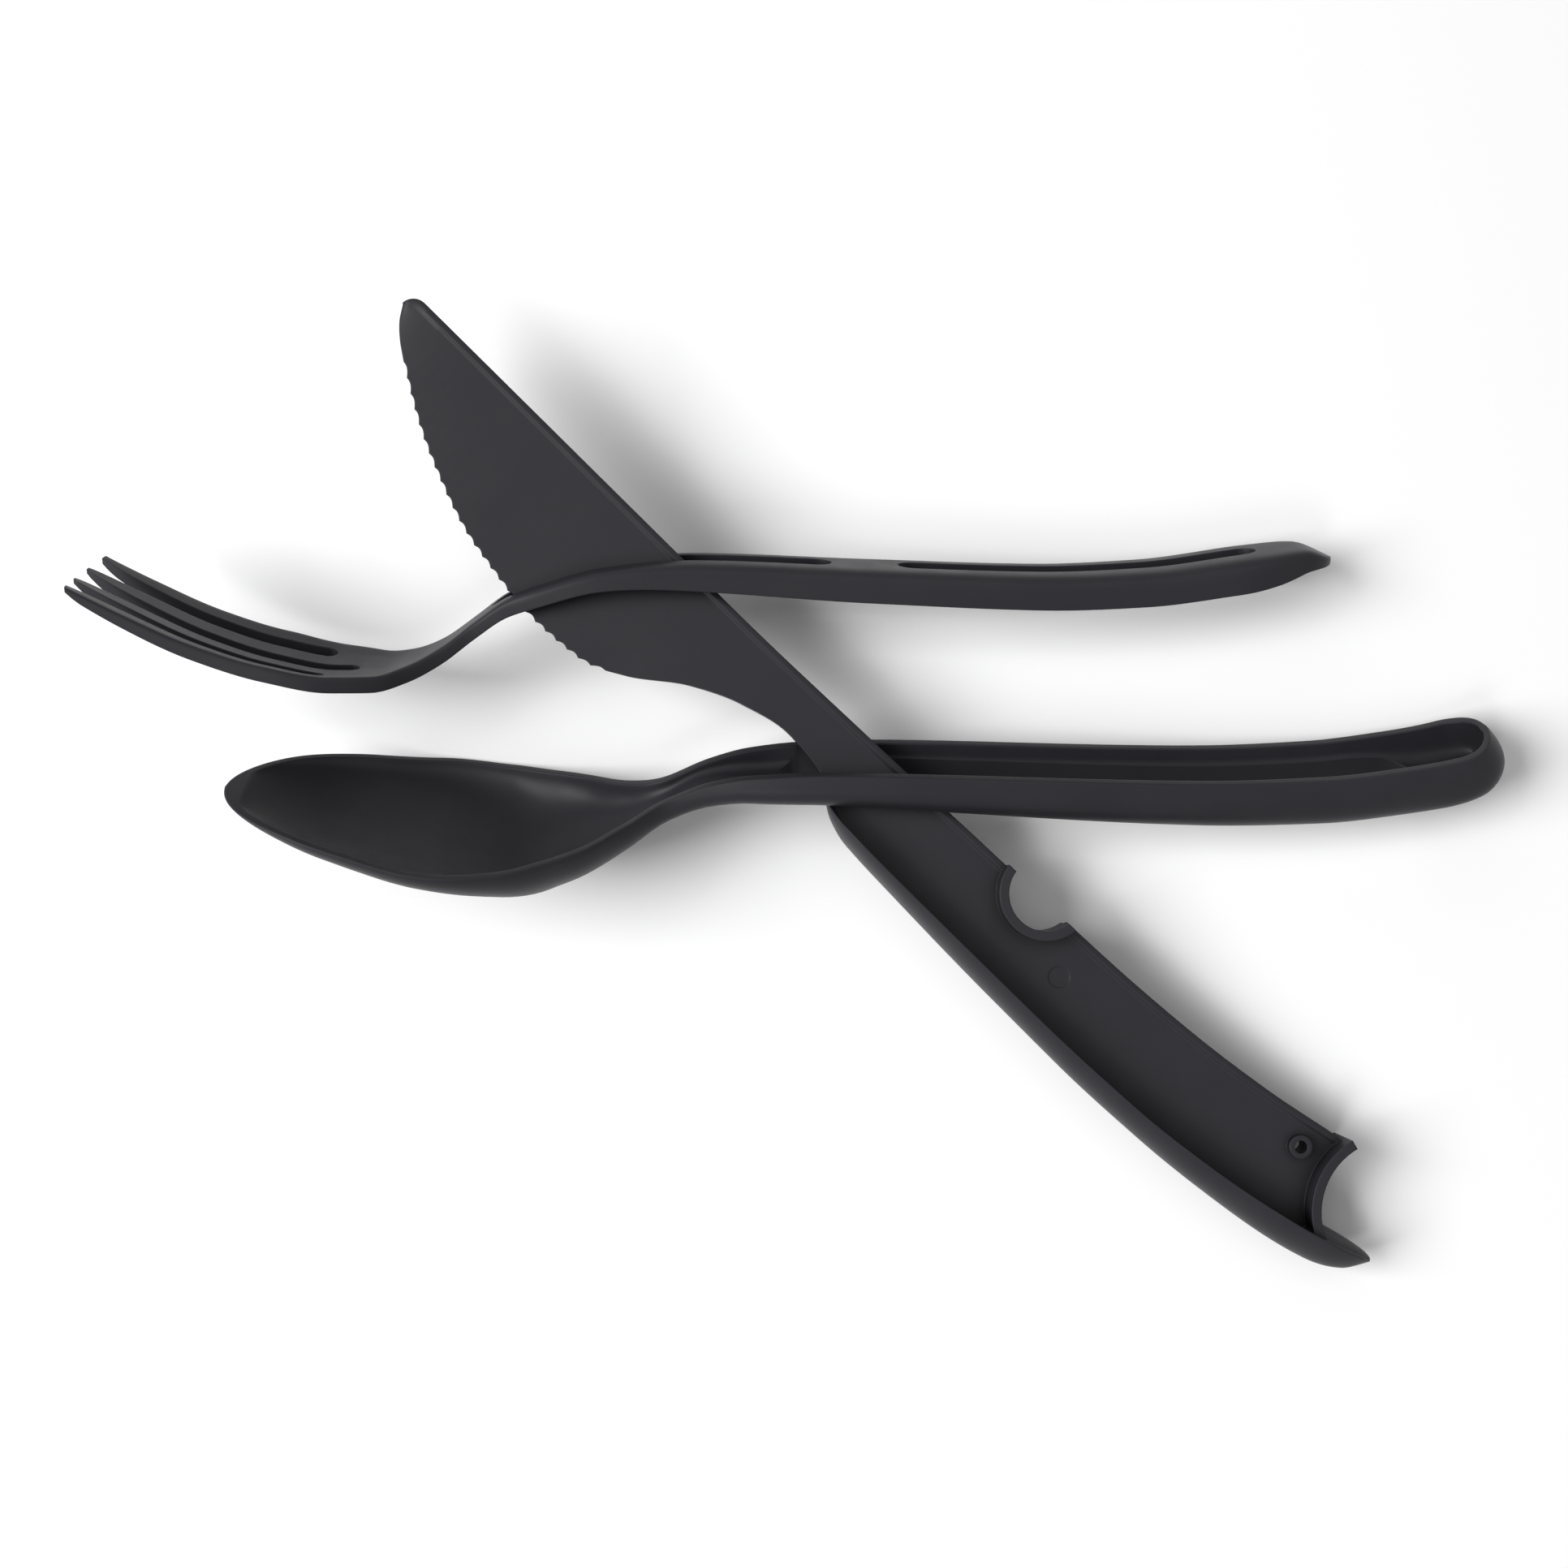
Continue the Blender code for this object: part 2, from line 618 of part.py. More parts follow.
def build_web(collection):
    """The knife's blade, neck and web as one loft, with teeth along the edge and a rib along the spine."""
    spine = spine_line()
    back = cap_back_line()
    half = WEB_THICKNESS / 2
    edge = smooth_curve(
        [
            (0, 2.2 * MM),
            (1.5 * MM, 0.0),
            (6.7 * MM, -4.1 * MM),
            (20 * MM, -11.4 * MM),
            (34 * MM, -16.0 * MM),
            (48 * MM, -BLADE_BELLY),
            (57 * MM, -16.9 * MM),
            (63.5 * MM, -13.9 * MM),
            (71.5 * MM, -8.1 * MM),
            (79 * MM, -4.6 * MM),
            (87 * MM, -NECK_DROP),
            (94 * MM, -3.4 * MM),
            (CAP_START, back(CAP_START) + CAP_WALL / 2),
        ]
    )
    half_edge = smooth_curve([(62 * MM, EDGE_THICKNESS / 2), (80 * MM, half)])
    first_tooth = 6.3 * MM
    teeth = round((TOOTHED_LENGTH - first_tooth) / TOOTH_PITCH)
    per_tooth = 3
    tip_round = 2.5 * MM
    along = [tip_round * t**2 for t in (0, 0.3, 0.55, 0.8, 1.05, 1.3)]
    along += [first_tooth + TOOTH_PITCH * i / per_tooth for i in range(teeth * per_tooth + 1)]
    along += list(np.linspace(along[-1], CAP_START, 14)[1:])
    along += list(np.linspace(CAP_START, KNIFE_LENGTH - 2 * MM, 26)[1:])
    rows = []
    for s in along:
        phase = (s - first_tooth) / TOOTH_PITCH
        scallop = abs(math.sin(math.pi * phase)) if 0 <= phase <= teeth else 0.0
        low = edge(s) + TOOTH_DEPTH * scallop
        if s > CAP_START:
            low = back(s) + CAP_WALL / 2
        high = edge(0) + (spine(s) - edge(0)) * round_off(s + 0.02 * MM, tip_round)
        rib = min(RIB_WIDTH, 0.3 * (high - low))
        rise = RIB_HEIGHT * round_off(s, 8 * MM)
        levels = [
            (low, half_edge(s)),
            (high - 1.5 * rib, half),
            (high - rib, half + rise),
            (high - 0.25 * rib, half + rise),
            (high, half + 0.7 * rise),
        ]
        rows.append([(s, y, z) for y, z in levels] + [(s, y, -z) for y, z in reversed(levels)])
    bm = bmesh.new()
    add_rings(bm, rows)
    return mesh_object("knife", bm, collection)


def build_cap(helpers):
    """The half-pipe that stiffens the handle: a trough with a pointed start and a solid pointed nose."""
    back = cap_back_line()
    rim = cap_rim_line()
    end = KNIFE_LENGTH
    nose = end - NOSE_LENGTH
    points = 13
    outer = []
    inner = []
    along = stations(CAP_START, end, 8 * MM, 12 * MM, 26, 6)
    for s in along:
        pointed = round_off(s - CAP_START, 10 * MM) * round_off(end - s, 14 * MM)
        half = CAP_HALF_DEPTH * pointed
        sag = rim(s) - back(s)
        trough = (sag - CAP_WALL) * min(1.0, 3 * pointed)
        if s > nose:
            trough = -NOSE_CROWN * round_off(end - s, NOSE_LENGTH)
        edge = min(0.7 * CAP_WALL, 0.4 * half)
        if s in (along[0], along[-1]):
            half = sag = trough = edge = 0.0
        outer_row = []
        inner_row = []
        for j in range(points):
            v = -math.cos(math.pi * j / (points - 1))
            arch = 0.0 if j in (0, points - 1) else 2 * math.sqrt(1 - 0.75 * v * v) - 1
            outer_row.append((s, rim(s) - sag * arch, half * v))
            inner_row.append((s, rim(s) - trough * arch, (half - edge) * v))
        outer.append(outer_row)
        inner.append(inner_row)
    bm = bmesh.new()
    add_shell(bm, outer, inner)
    return helper_object("knife_cap", bm, helpers)


def build_knife(collection, cutters):
    """Blade and web, cut by the notch and the round end, with the walls, the cap and the boss joined on."""
    knife = build_web(collection)
    spine = spine_line()(NOTCH_PLACE)
    notch = (NOTCH_PLACE, spine + 0.7 * MM)
    ring = NOTCH_RADIUS + INNER_WALL
    reach = INNER_WALL_REACH
    through = 2 * CAP_HALF_DEPTH
    swing = math.degrees(math.asin((notch[1] - spine + 0.1 * MM) / ring))
    cup = arc(notch, ring, 180 + swing, 360 - swing, 16)
    combine(knife, prism("notch_wall", cup, -reach, reach, cutters), "UNION")
    bore = cylinder("notch_cut", notch, NOTCH_RADIUS, -through, through, 40, cutters)
    combine(knife, bore, "DIFFERENCE")
    beyond = arc(END_CENTRE, END_RADIUS + 0.5 * INNER_WALL, 130, 300, 34)
    beyond.append((KNIFE_LENGTH + 5 * MM, 30 * MM))
    combine(knife, prism("end_cut", beyond, -through, through, cutters), "DIFFERENCE")
    wall = arc(END_CENTRE, END_RADIUS + INNER_WALL, 165, 246, 24)
    wall += arc(END_CENTRE, END_RADIUS, 246, 165, 24)
    combine(knife, prism("end_wall", wall, -reach, reach, cutters), "UNION")
    combine(knife, build_cap(cutters), "UNION")
    tall = WEB_THICKNESS / 2 + BOSS_REACH
    combine(knife, cylinder("boss", BOSS_CENTRE, BOSS_RADIUS, -tall, tall, 24, cutters), "UNION")
    bore = cylinder("boss_bore", BOSS_CENTRE, BOSS_BORE, -through, through, 20, cutters)
    combine(knife, bore, "DIFFERENCE")
    floor = WEB_THICKNESS / 2 - MARK_DEPTH
    mark = cylinder("mould_mark", MARK_CENTRE, MARK_RADIUS, floor, through, 24, cutters)
    combine(knife, mark, "DIFFERENCE")
    return knife


def place(obj, turn, crossing, position, shift, parent):
    """Puts the crossing station of the object's X axis where the knife's web passes the given place.

    The shift then moves the object across itself, so that the web lies to one side in its slot.
    """
    rotation = turned(turn)
    normal = turned(KNIFE_TURN).col[2]
    x, y = position
    rise = -(normal.x * (x - KNIFE_PLACE[0]) + normal.y * (y - KNIFE_PLACE[1])) / normal.z
    obj.parent = parent
    obj.rotation_euler = rotation.to_euler("XYZ")
    obj.location = Vector((x, y, rise)) + rotation @ Vector((-crossing, shift, 0))


def solid_points(objects):
    """Every corner of the finished objects in world space, with their common centre of mass."""
    bpy.context.view_layer.update()
    graph = bpy.context.evaluated_depsgraph_get()
    points = []
    volume = 0.0
    moment = Vector((0, 0, 0))
    for obj in objects:
        evaluated = obj.evaluated_get(graph)
        mesh = evaluated.to_mesh()
        mesh.calc_loop_triangles()
        corners = [obj.matrix_world @ vertex.co for vertex in mesh.vertices]
        for triangle in mesh.loop_triangles:
            a, b, c = (corners[i] for i in triangle.vertices)
            part = a.dot(b.cross(c)) / 6
            volume += part
            moment += part * (a + b + c) / 4
        points += corners
        evaluated.to_mesh_clear()
    return points, moment / volume


def resting_face(points, centre):
    """Normal and height of the face of the hull that the set comes to rest on."""
    bm = bmesh.new()
    for point in points:
        bm.verts.new(point)
    bmesh.ops.convex_hull(bm, input=bm.verts)
    bm.normal_update()
    found = []
    for face in bm.faces:
        normal = face.normal.copy()
        corners = [vertex.co.copy() for vertex in face.verts]
        foot = centre + normal * (corners[0] - centre).dot(normal)
        inside = min(
            (corners[i] - corners[i - 1]).cross(foot - corners[i - 1]).dot(normal)
            for i in range(len(corners))
        )
        if inside >= 0:
            found.append((normal.z, normal, corners[0]))
    bm.free()
    _, normal, corner = min(found, key=lambda item: item[0])
    turn = normal.rotation_difference(Vector((0, 0, -1)))
    return turn, (turn @ corner).z


def seat(pack, objects):
    """Turns the set onto the face it rests on, drops it to Z = 0 and centres it over the origin."""
    turn, height = resting_face(*solid_points(objects))
    pack.rotation_euler = turn.to_euler("XYZ")
    pack.location = (0, 0, -height)
    points = solid_points(objects)[0]
    for i in range(2):
        values = [point[i] for point in points]
        pack.location[i] = -(min(values) + max(values)) / 2
    bpy.context.view_layer.update()


def main():
    clear_scene()
    collection = new_collection(COLLECTION, bpy.context.scene.collection)
    cutters = new_collection(COLLECTION + "_cutters", bpy.context.scene.collection)
    fork = finish(build_fork(collection, cutters), plastic_material("fork_plastic"))
    knife = finish(build_knife(collection, cutters), plastic_material("knife_plastic"))
    spoon = finish(build_spoon(collection, cutters), plastic_material("spoon_plastic"))
    pack = bpy.data.objects.new(COLLECTION, None)
    collection.objects.link(pack)
    place(fork, FORK_TURN, FORK_CROSSING, FORK_PLACE, FORK_SHIFT, pack)
    place(knife, KNIFE_TURN, KNIFE_CROSSING, KNIFE_PLACE, 0.0, pack)
    place(spoon, SPOON_TURN, SPOON_CROSSING, SPOON_PLACE, SPOON_SHIFT, pack)
    seat(pack, (fork, knife, spoon))


main()
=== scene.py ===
"""Looks of the travel cutlery set: dark satin plastic on a white floor under soft studio light.

The fork, the knife and the spoon are built again as finer meshes with rounded rims, in the same places
as the CAD pieces that they stand for. Units are metres. In each piece's own frame X runs from the
working end to the end of the handle, Y lies across it and Z points out of the bowl, out of the top of
the fork's handle, or out of the side of the knife's web.
"""

import json
import math

import bmesh
import bpy
import numpy as np
from mathutils import Matrix, Vector

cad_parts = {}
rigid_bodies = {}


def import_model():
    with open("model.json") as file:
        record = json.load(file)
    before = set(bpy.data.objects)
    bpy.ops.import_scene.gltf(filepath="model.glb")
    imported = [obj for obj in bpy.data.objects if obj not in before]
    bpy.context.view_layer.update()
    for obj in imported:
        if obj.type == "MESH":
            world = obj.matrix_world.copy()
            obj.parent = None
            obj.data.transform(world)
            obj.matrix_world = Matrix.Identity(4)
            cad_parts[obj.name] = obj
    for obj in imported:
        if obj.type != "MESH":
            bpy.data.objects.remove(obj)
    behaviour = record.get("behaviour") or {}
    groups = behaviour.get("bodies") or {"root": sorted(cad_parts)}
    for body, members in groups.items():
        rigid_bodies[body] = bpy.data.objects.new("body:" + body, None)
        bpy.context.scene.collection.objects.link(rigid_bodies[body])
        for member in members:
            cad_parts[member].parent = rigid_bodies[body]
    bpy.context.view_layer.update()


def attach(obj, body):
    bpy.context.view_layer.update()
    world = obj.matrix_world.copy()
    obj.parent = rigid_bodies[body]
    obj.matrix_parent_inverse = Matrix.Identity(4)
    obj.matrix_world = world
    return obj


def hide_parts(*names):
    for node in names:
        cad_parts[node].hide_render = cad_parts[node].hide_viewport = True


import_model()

MM = 0.001
COLLECTION = "plastic_cutlery_pack_looks"

# Spoon
SPOON_LENGTH = 192.6 * MM
BOWL_LENGTH = 65.1 * MM
BOWL_WIDTH = 38.4 * MM
BOWL_WIDEST = 32.0 * MM
BOWL_DEPTH = 9.8 * MM
BOWL_WALL = 1.4 * MM
SPOON_NECK_WIDTH = 8.8 * MM
SPOON_HANDLE_WIDTH = 13.4 * MM
SPOON_HANDLE_WALL = 1.6 * MM
SPOON_TROUGH_DEPTH = 3.3 * MM
SPOON_SLOT_START = BOWL_LENGTH + 15.5 * MM
SPOON_SLOT_END = SPOON_LENGTH - 14.0 * MM
SPOON_SLOT_WIDTH = 9.4 * MM
SPOON_SLOT_ROUND = 5.0 * MM
SPOON_END_LEAN = 5.3 * MM
SPOON_LEAN_RUN = 20 * MM
SPOON_LEAN_DROP = 9 * MM

# Fork
FORK_LENGTH = 187.6 * MM
FORK_HEAD_WIDTH = 22.9 * MM
TINE_LENGTH = 40.3 * MM
TINE_WIDTH = 3.4 * MM
TINE_COUNT = 4
TINE_POINT_LENGTH = 14.0 * MM
TINE_POINT_WIDTH = 0.9 * MM
TINE_SPREAD = 0.8 * MM
TINE_ROOT_STEP = 4.3 * MM
TIP_ARC = 0.9 * MM
HEAD_THICKNESS = 2.7 * MM
HEAD_DISH = 2.0 * MM
FORK_NECK_WIDTH = 6.2 * MM
FORK_HANDLE_WIDTH = 10.9 * MM
FORK_WALL = 1.8 * MM
FORK_SLOT_START = 60.5 * MM
FORK_BRIDGE_START = 111.5 * MM
FORK_BRIDGE_LENGTH = 10.0 * MM
FORK_SLOT_END = FORK_LENGTH - 11.6 * MM
FORK_SLOT_TAPER = 12.0 * MM
FORK_SLOT_ROUND = 2.6 * MM

# Knife
KNIFE_LENGTH = 202.8 * MM
BLADE_BELLY = 17.6 * MM
SPINE_HEIGHT = 4.65 * MM
WEB_THICKNESS = 1.8 * MM
EDGE_THICKNESS = 0.5 * MM
NECK_DROP = 2.8 * MM
TOOTHED_LENGTH = 60.0 * MM
TOOTH_PITCH = 2.1 * MM
TOOTH_DEPTH = 0.36 * MM
RIB_WIDTH = 0.9 * MM
RIB_HEIGHT = 0.3 * MM
CAP_START = 97.8 * MM
CAP_HALF_DEPTH = 6.5 * MM
CAP_WALL = 1.4 * MM
NOSE_LENGTH = 10.5 * MM
NOSE_CROWN = 1.8 * MM
NOTCH_RADIUS = 5.5 * MM
NOTCH_PLACE = 130.7 * MM
INNER_WALL_REACH = 5.0 * MM
INNER_WALL = 1.4 * MM
END_RADIUS = 10.8 * MM
END_CENTRE = (KNIFE_LENGTH - 3.6 * MM, 9.6 * MM)
BOSS_CENTRE = (KNIFE_LENGTH - 19.4 * MM, 7.0 * MM)
BOSS_RADIUS = 1.7 * MM
BOSS_BORE = 0.95 * MM
BOSS_REACH = 1.6 * MM
MARK_CENTRE = (141.0 * MM, -0.2 * MM)
MARK_RADIUS = 1.6 * MM
MARK_DEPTH = 0.12 * MM

# How the three lie together
CLEARANCE = 0.3 * MM
SPOON_TURN = (math.radians(-63.0), math.radians(3.2), 0.0)
FORK_TURN = (math.radians(-72.0), math.radians(3.0), 0.0)
KNIFE_TURN = (math.radians(-2.0), math.radians(-2.0), math.radians(-44.8))
SPOON_CROSSING = SPOON_SLOT_START + 11.85 * MM
FORK_CROSSING = FORK_SLOT_START + 16.4 * MM
KNIFE_CROSSING = CAP_START - 0.05 * MM
KNIFE_PLACE = (10.2 * MM, 1.95 * MM)
SPOON_PLACE = (10.2 * MM, 2.25 * MM)
FORK_PLACE = (-27.4 * MM, 30.85 * MM)
SPOON_SHIFT = -1.1 * MM
FORK_SHIFT = 0.15 * MM

# The set as it lies on the floor, and the camera
SEAT_TURN = (math.radians(7.0788), math.radians(2.2864), math.radians(0.1412))
SEAT_PLACE = (-1.795 * MM, -1.0 * MM, 14.093 * MM)
CAMERA_PLACE = (10.174 * MM, -37.940 * MM, 311.570 * MM)
CAMERA_FIELD = math.radians(42.64)

# Fineness of the meshes: sections along a piece, sections over a rounded end, and points across
SPOON_SECTIONS = 150
SPOON_END_SECTIONS = 26
SPOON_POINTS = 61
FORK_SECTIONS = 190
FORK_END_SECTIONS = 20
FORK_POINTS = 45
BLADE_TIP_SECTIONS = 16
TOOTH_SECTIONS = 8
NECK_SECTIONS = 60
HANDLE_SECTIONS = 110
WEB_STEPS = 16
CAP_SECTIONS = 110
CAP_END_SECTIONS = 20
CAP_POINTS = 61
RIM_STEPS = 8
SLOT_STEPS = 36
TINE_STEPS = 20
TINE_ROOT_STEPS = 24
TIP_ARC_POINTS = 41
NOTCH_WALL_STEPS = 56
END_CUT_STEPS = 90
END_WALL_STEPS = 64
NOTCH_SIDES = 96
BOSS_SIDES = 64
BORE_SIDES = 56
MARK_SIDES = 64
CUT_REACH = 30 * MM
WELD = 0.002 * MM
SHARP_EDGE = math.radians(28.0)

# Softened rims, and the bulge of the spoon's side walls halfway down
EDGE_ROUND = 0.28 * MM
WALL_CROWN = 1.0 * MM

# Plastic
PLASTIC = (0.0205, 0.0195, 0.0235, 1.0)
PLASTIC_DEEP = (0.0175, 0.0165, 0.0205, 1.0)
PLASTIC_EDGE = (0.031, 0.030, 0.036, 1.0)
# Painted shade: a near-black base colour laid into crevices, slots and recesses where ambient occlusion
# finds the surface closed in, standing in for the shade that falls there
PLASTIC_PAINTED_SHADE = (0.004, 0.004, 0.005, 1.0)
PAINTED_SHADE_REACH = 5.0 * MM
PAINTED_SHADE_OPENING = (0.35, 0.85)
ROUGHNESS = 0.42
ROUGHNESS_SWING = 0.03
FINE_ROUGHNESS_SWING = 0.02
SPECULAR = 0.14
BEVEL = 0.30 * MM
BEVEL_TURN = (0.99, 0.80)
NOISE_SPAN = (0.3, 0.7)
TONE_SCALE = 90.0
GLOSS_SCALE = 220.0
FINE_GLOSS_SCALE = 5200.0
GRAIN_SCALE = 4200.0
GRAIN_STRENGTH = 0.10
GRAIN_HEIGHT = 0.03 * MM
WAVE_SCALE = 140.0
WAVE_STRENGTH = 0.15
WAVE_HEIGHT = 0.05 * MM
SEED_STEP = 0.1

# Studio
FLOOR_SIZE = 4.0
FLOOR_COLOUR = (0.94, 0.94, 0.94, 1.0)
FLOOR_ROUGHNESS = 0.9
FLOOR_SPECULAR = 0.2
WORLD_STRENGTH = 0.15
BACKDROP_STRENGTH = 1.0
LIGHTS = (
    ("key", (-1.26, -0.14, 1.28), (1.1, 1.1), 38.0),
    ("near", (-0.30, -1.10, 1.35), (0.4, 0.4), 4.0),
    ("far", (-0.50, 1.60, 0.90), (1.4, 1.0), 2.0),
    ("above", (0.05, 0.25, 1.95), (1.5, 1.5), 5.5),
)


def smooth_curve(knots):
    """A smooth curve through (x, value) knots that never overshoots them, as a function of x."""
    xs, ys = (np.array(column, float) for column in zip(*knots))
    steps = np.diff(xs)
    slopes = np.diff(ys) / steps
    tangents = np.zeros_like(ys)
    tangents[0] = slopes[0]
    tangents[-1] = slopes[-1]
    for i in range(1, len(xs) - 1):
        if slopes[i - 1] * slopes[i] > 0:
            before = 2 * steps[i] + steps[i - 1]
            after = steps[i] + 2 * steps[i - 1]
            tangents[i] = (before + after) / (before / slopes[i - 1] + after / slopes[i])

    def curve(x):
        x = min(max(x, xs[0]), xs[-1])
        i = min(max(int(np.searchsorted(xs, x)) - 1, 0), len(steps) - 1)
        t = (x - xs[i]) / steps[i]
        start = ys[i] * (1 + 2 * t) * (1 - t) ** 2 + tangents[i] * steps[i] * t * (1 - t) ** 2
        end = ys[i + 1] * (3 - 2 * t) * t**2 - tangents[i + 1] * steps[i] * t**2 * (1 - t)
        return float(start + end)

    return curve


def round_off(distance, length):
    """Rises from 0 to 1 like a quarter ellipse over the given length."""
    t = min(max(distance / length, 0.0), 1.0)
    return math.sqrt(1 - (1 - t) ** 2)


def stations(start, end, start_round, end_round, middle, turns):
    """Places along a piece, closer together over its rounded ends."""
    quarter = [1 - math.cos(0.5 * math.pi * i / turns) for i in range(turns + 1)]
    first = [start + start_round * q for q in quarter]
    last = [end - end_round * q for q in reversed(quarter)]
    body = list(np.linspace(first[-1], last[0], middle)[1:-1])
    return [float(s) for s in first + body + last]


def arc(centre, radius, first_deg, last_deg, steps):
    turns = [math.radians(first_deg + (last_deg - first_deg) * i / steps) for i in range(steps + 1)]
    return [(centre[0] + radius * math.cos(a), centre[1] + radius * math.sin(a)) for a in turns]


def new_collection(name, parent):
    collection = bpy.data.collections.new(name)
    parent.children.link(collection)
    return collection


def mesh_object(name, bm, collection):
    bmesh.ops.remove_doubles(bm, verts=bm.verts, dist=WELD)
    bmesh.ops.recalc_face_normals(bm, faces=bm.faces)
    mesh = bpy.data.meshes.new(name)
    bm.to_mesh(mesh)
    bm.free()
    obj = bpy.data.objects.new(name, mesh)
    collection.objects.link(obj)
    return obj


def prism(name, outline, low, high, collection):
    """A flat outline in XY, extruded from low to high."""
    bm = bmesh.new()
    face = bm.faces.new([bm.verts.new((x, y, low)) for x, y in outline])
    extruded = bmesh.ops.extrude_face_region(bm, geom=[face])
    top = [item for item in extruded["geom"] if isinstance(item, bmesh.types.BMVert)]
    bmesh.ops.translate(bm, verts=top, vec=(0, 0, high - low))
    return mesh_object(name, bm, collection)


def cylinder(name, centre, radius, low, high, sides, collection):
    return prism(name, arc(centre, radius, 0, 360, sides)[:-1], low, high, collection)


def combine(obj, other, operation):
    """Cuts or joins with a helper that moves along with the object."""
    modifier = obj.modifiers.new(other.name, "BOOLEAN")
    modifier.operation = operation
    modifier.object = other
    modifier.solver = "EXACT"
    other.parent = obj


def slot_outline(start, end, half_width, start_round, end_round):
    """A long slot along X whose two ends are half ellipses."""
    turns = [0.5 * math.pi + math.pi * i / SLOT_STEPS for i in range(SLOT_STEPS + 1)]
    left = [(start + start_round * (1 + math.cos(a)), half_width * math.sin(a)) for a in turns]
    right = [(end - end_round * (1 + math.cos(a)), -half_width * math.sin(a)) for a in turns]
    return left + right


def add_quads(bm, rings):
    """Quads between successive closed rings of vertices."""
    count = len(rings[0])
    for first, second in zip(rings, rings[1:]):
        for j in range(count):
            k = (j + 1) % count
            bm.faces.new((first[j], first[k], second[k], second[j]))


def add_rings(bm, rows):
    """Quads between successive closed rings, and a face over each end."""
    rings = [[bm.verts.new(point) for point in row] for row in rows]
    add_quads(bm, rings)
    bm.faces.new(rings[0])
    bm.faces.new(rings[-1])


def softened(ring, corners):
    """The closed ring with its given corners drawn onto small arcs, point for point."""
    count = len(ring)
    moved = list(ring)
    for corner in corners:
        centre = np.array(ring[corner])
        sides = []
        for step in (-1, 1):
            walked = 0.0
            passed = []
            here = centre
            k = corner
            while walked < EDGE_ROUND and len(passed) < count // 3:
                k = (k + step) % count
                there = np.array(ring[k])
                length = float(np.linalg.norm(there - here))
                passed.append((k, walked + length))
                last = (here, there, walked, length)
                walked += length
                here = there
            start, there, before, length = last
            share = min((EDGE_ROUND - before) / length, 1.0) if length > 0 else 1.0
            sides.append((start + (there - start) * share, min(walked, EDGE_ROUND), passed))
        ends = [side[0] for side in sides]
        moved[corner] = tuple(0.25 * ends[0] + 0.5 * centre + 0.25 * ends[1])
        for i, (_, reach, passed) in enumerate(sides):
            for k, walked in passed:
                if walked < reach and reach > 0:
                    t = 0.5 * (1 - walked / reach)
                    near, far = ends[i], ends[1 - i]
                    point = (1 - t) ** 2 * near + 2 * t * (1 - t) * centre + t * t * far
                    moved[k] = tuple(point)
    return moved


def add_shell(bm, outer_rows, inner_rows, open_start=False):
    """A closed body lofted through rings that run along the outside, over a rim and back inside."""
    rings = []
    for outer, inner in zip(outer_rows, inner_rows):
        rims = []
        for a, b in ((outer[-1], inner[-1]), (inner[0], outer[0])):
            a, b = np.array(a), np.array(b)
            rims.append([tuple(a + (b - a) * i / RIM_STEPS) for i in range(1, RIM_STEPS)])
        ring = list(outer) + rims[0] + list(inner)[::-1] + rims[1]
        n = len(outer)
        corners = (0, n - 1, n - 1 + RIM_STEPS, 2 * n - 2 + RIM_STEPS)
        rings.append([bm.verts.new(point) for point in softened(ring, corners)])
    add_quads(bm, rings)
    if open_start:
        bm.faces.new(rings[0])


def superellipse(s, half, depth, base, squareness, points, bow):
    """A section across Y whose two edges are at height base and whose middle is depth beyond them."""
    power = 1 / (1 + 2 * squareness)
    middle = (points - 1) // 2
    row = []
    for j in range(points):
        c = math.cos(math.pi * j / (points - 1))
        share = 0.0 if j == middle else math.copysign(abs(c) ** power, c)
        lift = 0.0 if j in (0, points - 1) else math.sqrt(1 - c * c) ** power
        row.append((s, half * share, base + depth * lift + bow * (half * share) ** 2))
    return row


def inset(outline, s, wall):
    """The point at one wall's thickness inside the outline y = outline(s), as (s, y)."""
    step = 0.2 * MM
    slope = (outline(s + step) - outline(s - step)) / (2 * step)
    length = math.hypot(1, slope)
    return s + wall * slope / length, max(outline(s) - wall / length, 0.0)


def crowned(point, crown, half, share):
    """The point pushed out sideways, most where it lies halfway down the wall."""
    if half == 0.0:
        return point
    push = crown * 4 * share * (1 - share) * point[1] / half
    return point[0], point[1] + push, point[2]


def channel(name, shape, along, points, collection, open_start=False):
    """A trough or an arch along X, as one shell whose side walls follow its outline."""
    outer = []
    inner = []
    last = len(along) - 1
    for i, s in enumerate(along):
        wall = shape["wall"](s)
        half = shape["half"](s)
        depth = shape["depth"](s)
        s_in, half_in = inset(shape["half"], s, wall)
        depth_in = shape["trough"](s)
        if i == last or (i == 0 and not open_start):
            s_in = s - wall if i else s + wall
            half = half_in = depth = depth_in = 0.0
        for rows, place, y, z in ((outer, s, half, depth), (inner, s_in, half_in, depth_in)):
            height = shape["height"](place)
            square = shape["square"](s)
            row = superellipse(place, y, z, height, square, points, shape["bow"](place))
            row = [(p[0] - shape["lean"](p[0], height - p[2]), p[1], p[2]) for p in row]
            if rows is outer and depth:
                row = [crowned(p, shape["crown"](s), half, (p[2] - height) / depth) for p in row]
            rows.append(row)
    bm = bmesh.new()
    add_shell(bm, outer, inner, open_start)
    return mesh_object(name, bm, collection)


